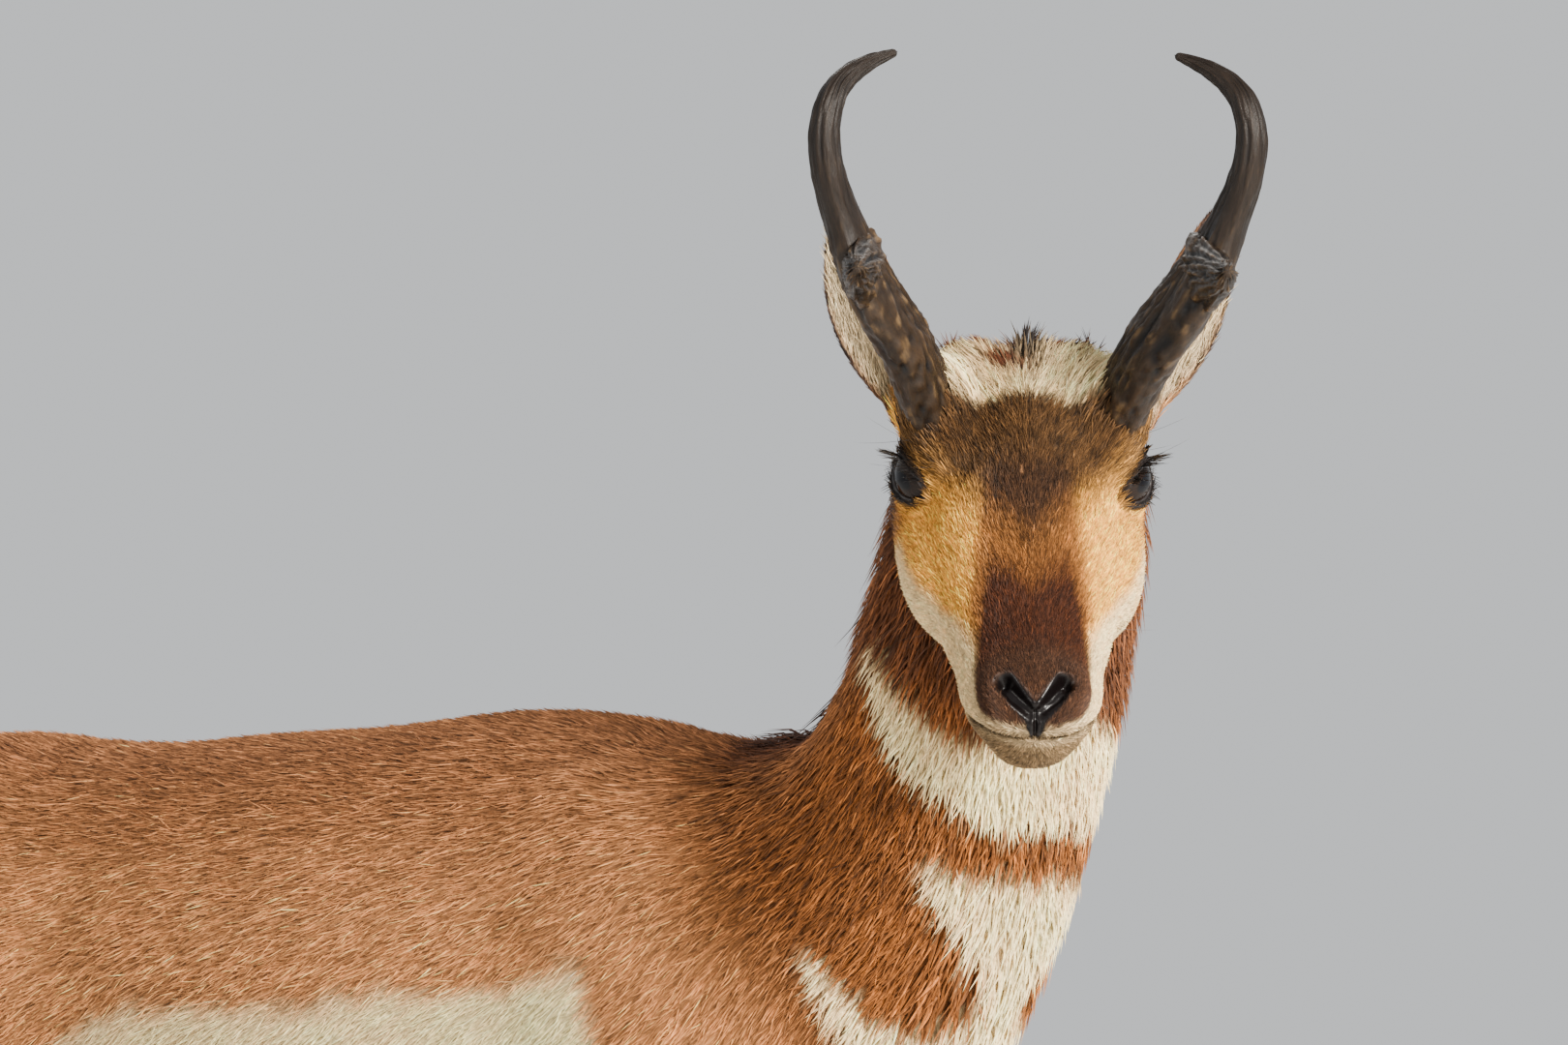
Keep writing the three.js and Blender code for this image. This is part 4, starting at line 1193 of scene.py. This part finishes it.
def grow_coat(points, faces, normal, chart, colour, fields):
    """Scatters tufts over the skin by area, and makes them into pieces."""
    length, width, lift, dense = fields
    lie = lie_of_hair(points, normal, chart)
    area = np.linalg.norm(face_crosses(points, faces), axis=1) / 2
    need = (dense / (length * width))[faces].mean(1) * area
    face_length, face_lift = length[faces].mean(1), lift[faces].mean(1)
    long_hair = (face_length > 23) | ((face_lift > 0.22) & (face_length > 9))
    hair = surface(
        "hair", {"Scale": 420.0, "Detail": 2.0}, (0.3, 0.72), (0.7, 1.2),
        Roughness=0.64, Specular_IOR_Level=0.2, Sheen_Weight=0.05, Sheen_Roughness=0.4,
    )
    for kind, shape, chosen, count in (
        ("short", STRAIGHT, ~long_hair, STRAIGHT_TUFTS),
        ("long", BENT, long_hair, BENT_TUFTS),
    ):
        chance = need * chosen
        pick = RNG.choice(len(faces), count, p=chance / chance.sum())
        pick.sort()
        a, b = RNG.random(count), RNG.random(count)
        flip = a + b > 1
        a, b = np.where(flip, 1 - a, a), np.where(flip, 1 - b, b)
        share = np.stack([1 - a - b, a, b], -1)
        corner = faces[pick]
        mix = lambda values: np.einsum("ij,ij...->i...", share, values[corner])
        root, up = mix(points), unit(mix(normal))
        way = along_skin(mix(lie) + 0.2 * RNG.standard_normal((count, 3)), up)
        uv = chart["uv"][corner[:, 0]]
        hue = mix(colour)
        pale = ease(0.3, 0.6, hue[:, 1])
        hue = hue * np.exp((0.48 - 0.34 * pale) * RNG.standard_normal(count) - 0.04)[:, None]
        tall = mix(length) * RNG.uniform(0.75, 1.2, count)
        wide = mix(width) * RNG.uniform(0.75, 1.25, count)
        raised = np.clip(mix(lift) * RNG.uniform(0.6, 1.5, count), 0.05, 0.7)
        order = np.argsort(chart["part"][corner[:, 0]], kind="stable")
        step = PIECE_FACES // len(shape[0])
        for k, start in enumerate(range(0, count, step)):
            piece = order[start : start + step]
            values = (v[piece] for v in (root, up, way, tall, wide, raised, hue, uv))
            tuft_mesh(f"coat_{kind}_{k}", shape, *values, hair)


def finish_skin(skin, parts):
    """Smooths the joins of the skin, gives it its markings and grows the coat."""
    points, faces = points_of(skin), triangles_of(skin)
    chart = chart_of_lofts(parts)
    near = nearest(chart["point"], points)
    here = {key: values[near] for key, values in chart.items()}
    points = smooth_creases(points, faces, here)
    skin.data.vertices.foreach_set("co", in_metres(points))
    skin.data.update()
    colour = coat_colours(points, here)
    *fields, bare = hair_fields(points, here)
    add_colours(skin.data, colour)
    add_flow(skin.data, here["flow"])
    skin.data.attributes.new("bare", "FLOAT", "POINT").data.foreach_set("value", single(bare))
    skin.data.materials.clear()
    skin.data.materials.append(skin_material())
    grow_coat(points, faces, vertex_normals(points, faces), here, colour, fields)


# Shares of the length of a lash or whisker at which it has a ring of three corners
STRAND_RINGS = [0, 0.3, 0.6, 0.84]
LASH_RADIUS, WHISKER_RADIUS = 0.5, 0.3
EYE_RINGS, EYE_SIDES = 90, 120
LID_STEPS, LID_SIDES = 160, 12
# Lashes: kind, range of turns round the lids, how many, length, rise and curl
LASHES = [("upper", 0.9, 2.85, 80, 16, 0.05, 0.25), ("lower", 3.45, 5.1, 26, 7, -0.45, -0.3)]
# Seats of whiskers over the eyes, on the cheeks and at the lips, in the head's frame
WHISKERS = [
    (8, 56, 26), (2, 58, 30), (20, 54, 24), (70, 46, -30), (82, 42, -36),
    (150, 30, -22), (158, 29, -26), (166, 27, -22), (160, 24, -36), (172, 20, -38),
]


def strands(name, root, way, turn, length, radius, material):
    """Thin curved hairs of the head with three sides that taper to a point, as one object."""
    root, way = from_head(root), way @ HEAD_TURN.T
    turn = np.repeat(np.array(turn)[None], len(root), axis=0) @ HEAD_TURN.T
    side = unit(np.cross(way, turn))
    rings = []
    for share in STRAND_RINGS:
        middle = root + (way * share + turn * share**2 * 0.5) * length[:, None]
        thin = radius * (1 - 0.75 * share)
        for k in range(3):
            a = math.tau * k / 3
            rings.append(middle + thin * (side * math.cos(a) + turn * math.sin(a)))
    tip = len(rings)
    rings.append(root + (way + turn * 0.5) * length[:, None])
    pattern = [[0, 2, 1]]
    for ring in range(0, tip - 3, 3):
        for k in range(3):
            a, b = ring + k, ring + (k + 1) % 3
            pattern += [[a, b, b + 3], [a, b + 3, a + 3]]
    pattern += [[tip - 3 + k, tip - 3 + (k + 1) % 3, tip] for k in range(3)]
    points = np.stack(rings, 1).reshape(-1, 3)
    faces = copies(pattern, tip + 1, len(root))
    put(mesh_object(name, points, turned_out(points, faces)), material, "eye")


def lid_point(side, turn, radius):
    """A point of the lids' edge on a ball of the given radius round the eye."""
    look, across, up = eye_axes(side)
    a = LID_HALF_LENGTH * math.cos(turn)
    u = float(lid_half_height(math.cos(turn))) * math.copysign(1, math.sin(turn))
    return unit(across * a + up * u + look * math.sqrt(EYE_RADIUS**2 - a * a - u * u)) * radius


def build_eyeball(side, material):
    """A dark ball with a raised cornea and a wide pupil in a fibrous iris."""
    look, across, up = eye_axes(side)
    tilts = np.linspace(0.02, math.pi - 0.02, EYE_RINGS)
    tilt, turn = (k[..., None] for k in pairs(tilts, full_turn(EYE_SIDES)))
    ball = np.cos(tilt) * look + np.sin(tilt) * (np.cos(turn) * across + np.sin(turn) * up)
    ball = (ball * (EYE_RADIUS + CORNEA_RISE * np.exp(-((tilt / 0.62) ** 4)))).reshape(-1, 3)
    points = np.concatenate([ball, [look * (EYE_RADIUS + CORNEA_RISE)], [look * -EYE_RADIUS]])
    faces = turned_out(points, faces_of(EYE_RINGS, EYE_SIDES))
    eye = mesh_object(f"eyeball_{side_name(side)}", from_head(points + eye_centre(side)), faces)
    a, u, out = points @ across, points @ up, points @ look > 0
    pupil = ease(1.15, 0.85, np.hypot(a / 8.5, u / 4.6)) * out
    iris = ease(1.1, 0.95, np.hypot(a, u) / 13.5) * out
    around = np.arctan2(u, a)
    fibre = 1 + 0.35 * np.sin(around * 46 + 2 * np.sin(around * 9))
    colour = painted(EYE_BROWN, (IRIS, iris)) * (1 + (fibre - 1) * iris)[:, None]
    add_colours(eye.data, painted(colour, (PUPIL, pupil)))
    put(eye, material, "eye", f"eye_{side_name(side)}")


def build_lids(side, material):
    """Rims of the lids, with a fuller upper one that overhangs."""
    turns = full_turn(LID_STEPS)
    path = np.array([lid_point(side, t, EYE_RADIUS + 0.7) for t in turns])
    forward = unit(np.roll(path, -1, axis=0) - np.roll(path, 1, axis=0))
    outward = unit(path)
    beside = np.cross(forward, outward)
    around = full_turn(LID_SIDES)[:, None]
    thick = (1.3 + 1.0 * ease(-0.2, 0.8, np.sin(turns)) + 0.15 * np.sin(turns * 17))[:, None, None]
    round_path = outward[:, None] * np.cos(around) * 0.9 + beside[:, None] * np.sin(around)
    tube = path[:, None] + thick * round_path
    points = from_head(tube.reshape(-1, 3) + eye_centre(side))
    spot = np.arange(LID_STEPS * LID_SIDES).reshape(LID_STEPS, LID_SIDES)
    beyond = np.roll(spot, -1, axis=1)
    faces = split_quads(spot, beyond, np.roll(beyond, -1, axis=0), np.roll(spot, -1, axis=0))
    put(mesh_object(f"lid_{side_name(side)}", points, turned_out(points, faces)), material, "eye")


def build_lashes(side, material):
    """Long lashes above, sparse short ones below."""
    look, across, up = eye_axes(side)
    for kind, low, high, count, long, rise, curl in LASHES:
        turns = np.linspace(low, high, count) + RNG.uniform(-0.02, 0.02, count)
        root = np.array([lid_point(side, t, EYE_RADIUS + 1.2) for t in turns]) + eye_centre(side)
        spread = across * (np.cos(turns) * 0.3)[:, None]
        way = unit(look * 0.9 + up * rise + spread + 0.07 * RNG.standard_normal((count, 3)))
        fuller = 0.7 + 0.3 * np.sin((turns - low) / (high - low) * math.pi)
        long = long * RNG.uniform(0.6, 1.15, count) * fuller
        strands(f"lashes_{kind}_{side_name(side)}", root, way, up * curl, long, LASH_RADIUS, material)


def build_whiskers(material):
    """A few long hairs on both sides of the head."""
    root, way = [], []
    for x, y, z in WHISKERS:
        for side in (-1, 1):
            root.append([x, side * (y - 3), z])
            way.append([0.1 if x < 100 else 0.5, side * 1.0, 0.25 if z > 0 else -0.35])
    root, way = np.array(root, float), np.array(way) + 0.2 * RNG.standard_normal((len(way), 3))
    long = np.where(root[:, 0] > 100, 22.0, 38.0) * RNG.uniform(0.7, 1.2, len(root))
    strands("whiskers", root, unit(way), [-0.25, 0, 0.1], long, WHISKER_RADIUS, material)


def horn_part(rows, side, steps, sides, rough_to, salt):
    """A loft of a horn with bark up to a row and fine streaks above it, placed on the head."""
    made = loft(mirrored(rows, side), steps, sides, (4, 3))
    points, run = made["points"], made["run"]
    angle = made["angle"][None, :]
    flow = np.broadcast_arrays(18 * np.cos(angle), 18 * np.sin(angle), run[:, None] * 0.22)
    flow = np.stack(flow, -1).reshape(-1, 3)
    rough = np.repeat(ease(rough_to + 1.2, rough_to - 0.3, made["row"]), sides)
    ridge = 1 - 2.6 * np.abs(lattice_noise(flow * [1, 1, 0.7], 4.6, salt))
    flake = lattice_noise(flow * [1, 1, 2.2], 2.6, salt + 1)
    fine = lattice_noise(flow, 1.6, salt + 2)
    knob = np.maximum(lattice_noise(flow * [1, 1, 4.4], 6.0, salt + 3), 0)
    knob = knob * np.repeat(ease(45, 8, run), sides)
    crack = np.minimum(lattice_noise(flow * [1.4, 1.4, 1.0], 4.0, salt + 4) + 0.35, 0)
    bark = (1.1 * ridge + 1.0 * flake + 2.2 * crack) * rough
    bark = bark + 0.35 * fine + (1 - rough) * 0.45 * ridge + 2.4 * knob - 0.4
    normal = grid_normals(points, points.mean(axis=1, keepdims=True))
    ends = ease(0, 6, run) * ease(0, 6, run[-1] - run)
    relief = (bark.reshape(len(run), sides) * ends[:, None])[..., None]
    made["points"] = from_head(points + normal * relief)
    made["tips"] = from_head(made["tips"])
    return {**made, "bark": bark, "rough": rough, "flow": flow}


def build_horn(side, material):
    """A horn of a beam and a prong in one shell."""
    parts = [horn_part(HORN, side, 270, 110, 4.0, 20), horn_part(PRONG, side, 90, 90, 9.0, 30)]
    cloud = np.concatenate([part["points"].reshape(-1, 3) for part in parts])
    objects = [loft_object(f"horn_part_{k}", part) for k, part in enumerate(parts)]
    horn = union(f"horn_shell_{side_name(side)}", objects)
    near = nearest(cloud, points_of(horn))
    bark, rough, flow = (np.concatenate([part[k] for part in parts])[near] for k in ("bark", "rough", "flow"))
    tone = HORN_TIP * (1 - rough[:, None]) + HORN_BARK * rough[:, None]
    # The colour follows the bark: darker in cracks and hollows as painted shade, lighter on ridges and knobs
    # as painted highlight
    colour = tone * np.clip(1.0 + 0.6 * bark, 0.15, 2.4)[:, None]
    # Pale flecks on the raised bark: painted highlights
    fleck = ease(-0.2, 0.8, bark) * (0.25 + 0.75 * rough) * ease(0.2, 0.55, lattice_noise(flow, 1.5, 41))
    add_colours(horn.data, np.clip(painted(colour, (HORN_HIGHLIGHT_FLECK, fleck * 0.5)), 0.002, 1))
    add_flow(horn.data, flow)
    put(horn, material, "horn", f"horn_{side_name(side)}")


TOE_LEVELS, TOE_SIDES, TOE_HEIGHT = 40, 72, 49.5


def build_hooves(material):
    """Toes of horn with a rounded coronet, growth rings and a worn edge at the ground."""
    for name in [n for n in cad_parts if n.startswith("hoof_")]:
        low, high = (np.array(v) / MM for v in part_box(name))
        inward = (-1 if "inner" in name else 1) * (1 if "left" in name else -1)
        level, turn = pairs(np.linspace(0, 1, TOE_LEVELS), full_turn(TOE_SIDES))
        along = np.cos(turn)
        half = 32 - 9 * level
        worn = 1 - 0.03 * ease(0.07, 0, level) - 0.1 * ease(0.88, 1, level)
        ring = 1 + 0.009 * np.sin(level * 46) * (0.4 + 0.6 * along)
        across = np.sin(turn) * 10.5 * (1 - 0.12 * level) * (1 - 0.32 * along)
        across = across * np.where(across * inward < 0, 0.82, 1)
        x = 8 - 9 * level + half * along * worn * ring
        points = np.stack([x, across * worn * ring, level * TOE_HEIGHT], -1).reshape(-1, 3)
        points = np.concatenate([points, [[8, 0, 0], [-1, 0, TOE_HEIGHT]]])
        points[:, :2] += (low[:2] + high[:2]) / 2 - (points[:, :2].max(0) + points[:, :2].min(0)) / 2
        points[:, 2] += low[2]
        faces = turned_out(points, faces_of(TOE_LEVELS, TOE_SIDES))
        put(mesh_object(name.replace("hoof", "toe"), points - SHIFT, faces), material, "hoof", name)


# Camera at the photograph's view: it looks down a little, from the animal's right and front
VIEW_AZIMUTH, VIEW_ELEVATION, VIEW_DISTANCE = math.radians(38), math.radians(1.5), 14.2
AIM_RIGHT, AIM_UP = -0.131, -0.025
LENS = 593.0
FLOOR_RADIUS = 9
# Soft lights that point at the middle of the animal: name, place, size and power
LIGHTS = [
    ("key", (4.4, -0.9, 2.9), 1.1, 720),
    ("fill", (-1.5, -4.5, 2.4), 0.9, 75),
    ("rim", (-2.6, 3.4, 3.4), 2.4, 90),
]
LIGHT_COLOUR = (1.0, 0.95, 0.88)
LIT_POINT = Vector((0.1, 0, 0.75))
WORLD_COLOUR, WORLD_STRENGTH = (0.86, 0.88, 0.9, 1), 0.82
FLOOR_COLOUR = (0.78, 0.77, 0.75, 1)


def build_camera():
    a, e = VIEW_AZIMUTH, VIEW_ELEVATION
    right = Vector((math.cos(a), math.sin(a), 0))
    back = Vector((math.sin(a) * math.cos(e), -math.cos(a) * math.cos(e), math.sin(e)))
    up = back.cross(right)
    aim = Vector((EYES_AT + SHIFT) * MM) + right * AIM_RIGHT + up * AIM_UP
    camera = bpy.data.objects.new("camera", bpy.data.cameras.new("camera"))
    bpy.context.scene.collection.objects.link(camera)
    camera.data.lens = LENS
    camera.data.clip_end = 200
    camera.location = aim + back * VIEW_DISTANCE
    camera.rotation_mode = "QUATERNION"
    camera.rotation_quaternion = (-back).to_track_quat("-Z", "Y")
    bpy.context.scene.camera = camera


def build_stage():
    """A plain pale floor, a bright even world and three soft lights."""
    bpy.ops.mesh.primitive_circle_add(vertices=96, radius=FLOOR_RADIUS, fill_type="NGON")
    floor = bpy.context.object
    floor.name = "floor"
    floor.data.materials.append(new_material("pale_floor", Base_Color=FLOOR_COLOUR, Roughness=0.8)[0])
    world = bpy.data.worlds.new("studio")
    world.use_nodes = True
    settle(world.node_tree, world.node_tree.nodes["Background"], Color=WORLD_COLOUR, Strength=WORLD_STRENGTH)
    bpy.context.scene.world = world
    for name, place, size, power in LIGHTS:
        lamp = bpy.data.lights.new(name, "AREA")
        lamp.size = size
        lamp.energy = power
        lamp.color = LIGHT_COLOUR
        light = bpy.data.objects.new(name, lamp)
        bpy.context.scene.collection.objects.link(light)
        light.location = place
        light.rotation_euler = (LIT_POINT - light.location).to_track_quat("-Z", "Y").to_euler()


skin, lofts = build_skin()
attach(skin, "root")
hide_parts(*[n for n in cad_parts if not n.startswith(("eye_", "horn_", "hoof_"))])
finish_skin(skin, lofts)
wet_eye = surface(
    "eye", {"Scale": 500.0, "Detail": 3.0}, (0.3, 0.8), (0.7, 1.15), Roughness=0.04, Specular_IOR_Level=0.16
)
lid_skin = dark_material("lid", (26, 19, 17), 900.0, 0.6, 1.3, (0.15, 0.0003), 0.42)
lash_hair = dark_material("lash", (16, 12, 11), 900.0, 0.7, 1.2, (0.2, 0.0002), 0.42)
for side in (-1, 1):
    build_eyeball(side, wet_eye)
    build_lids(side, lid_skin)
    build_lashes(side, lash_hair)
build_whiskers(lash_hair)
horn = surface(
    "horn", {"Scale": 1.1, "Detail": 6.0, "Roughness": 0.7}, (0.35, 0.6), (0.65, 1.25),
    flow=True, bump=(0.55, 0.0007), shine=((0.3, 0.56), (0.7, 0.36)), Specular_IOR_Level=0.24,
)
for side in (-1, 1):
    build_horn(side, horn)
build_hooves(dark_material("hoof", (44, 36, 33), 160.0, 0.55, 1.4, (0.4, 0.0008), 0.4))
build_camera()
build_stage()
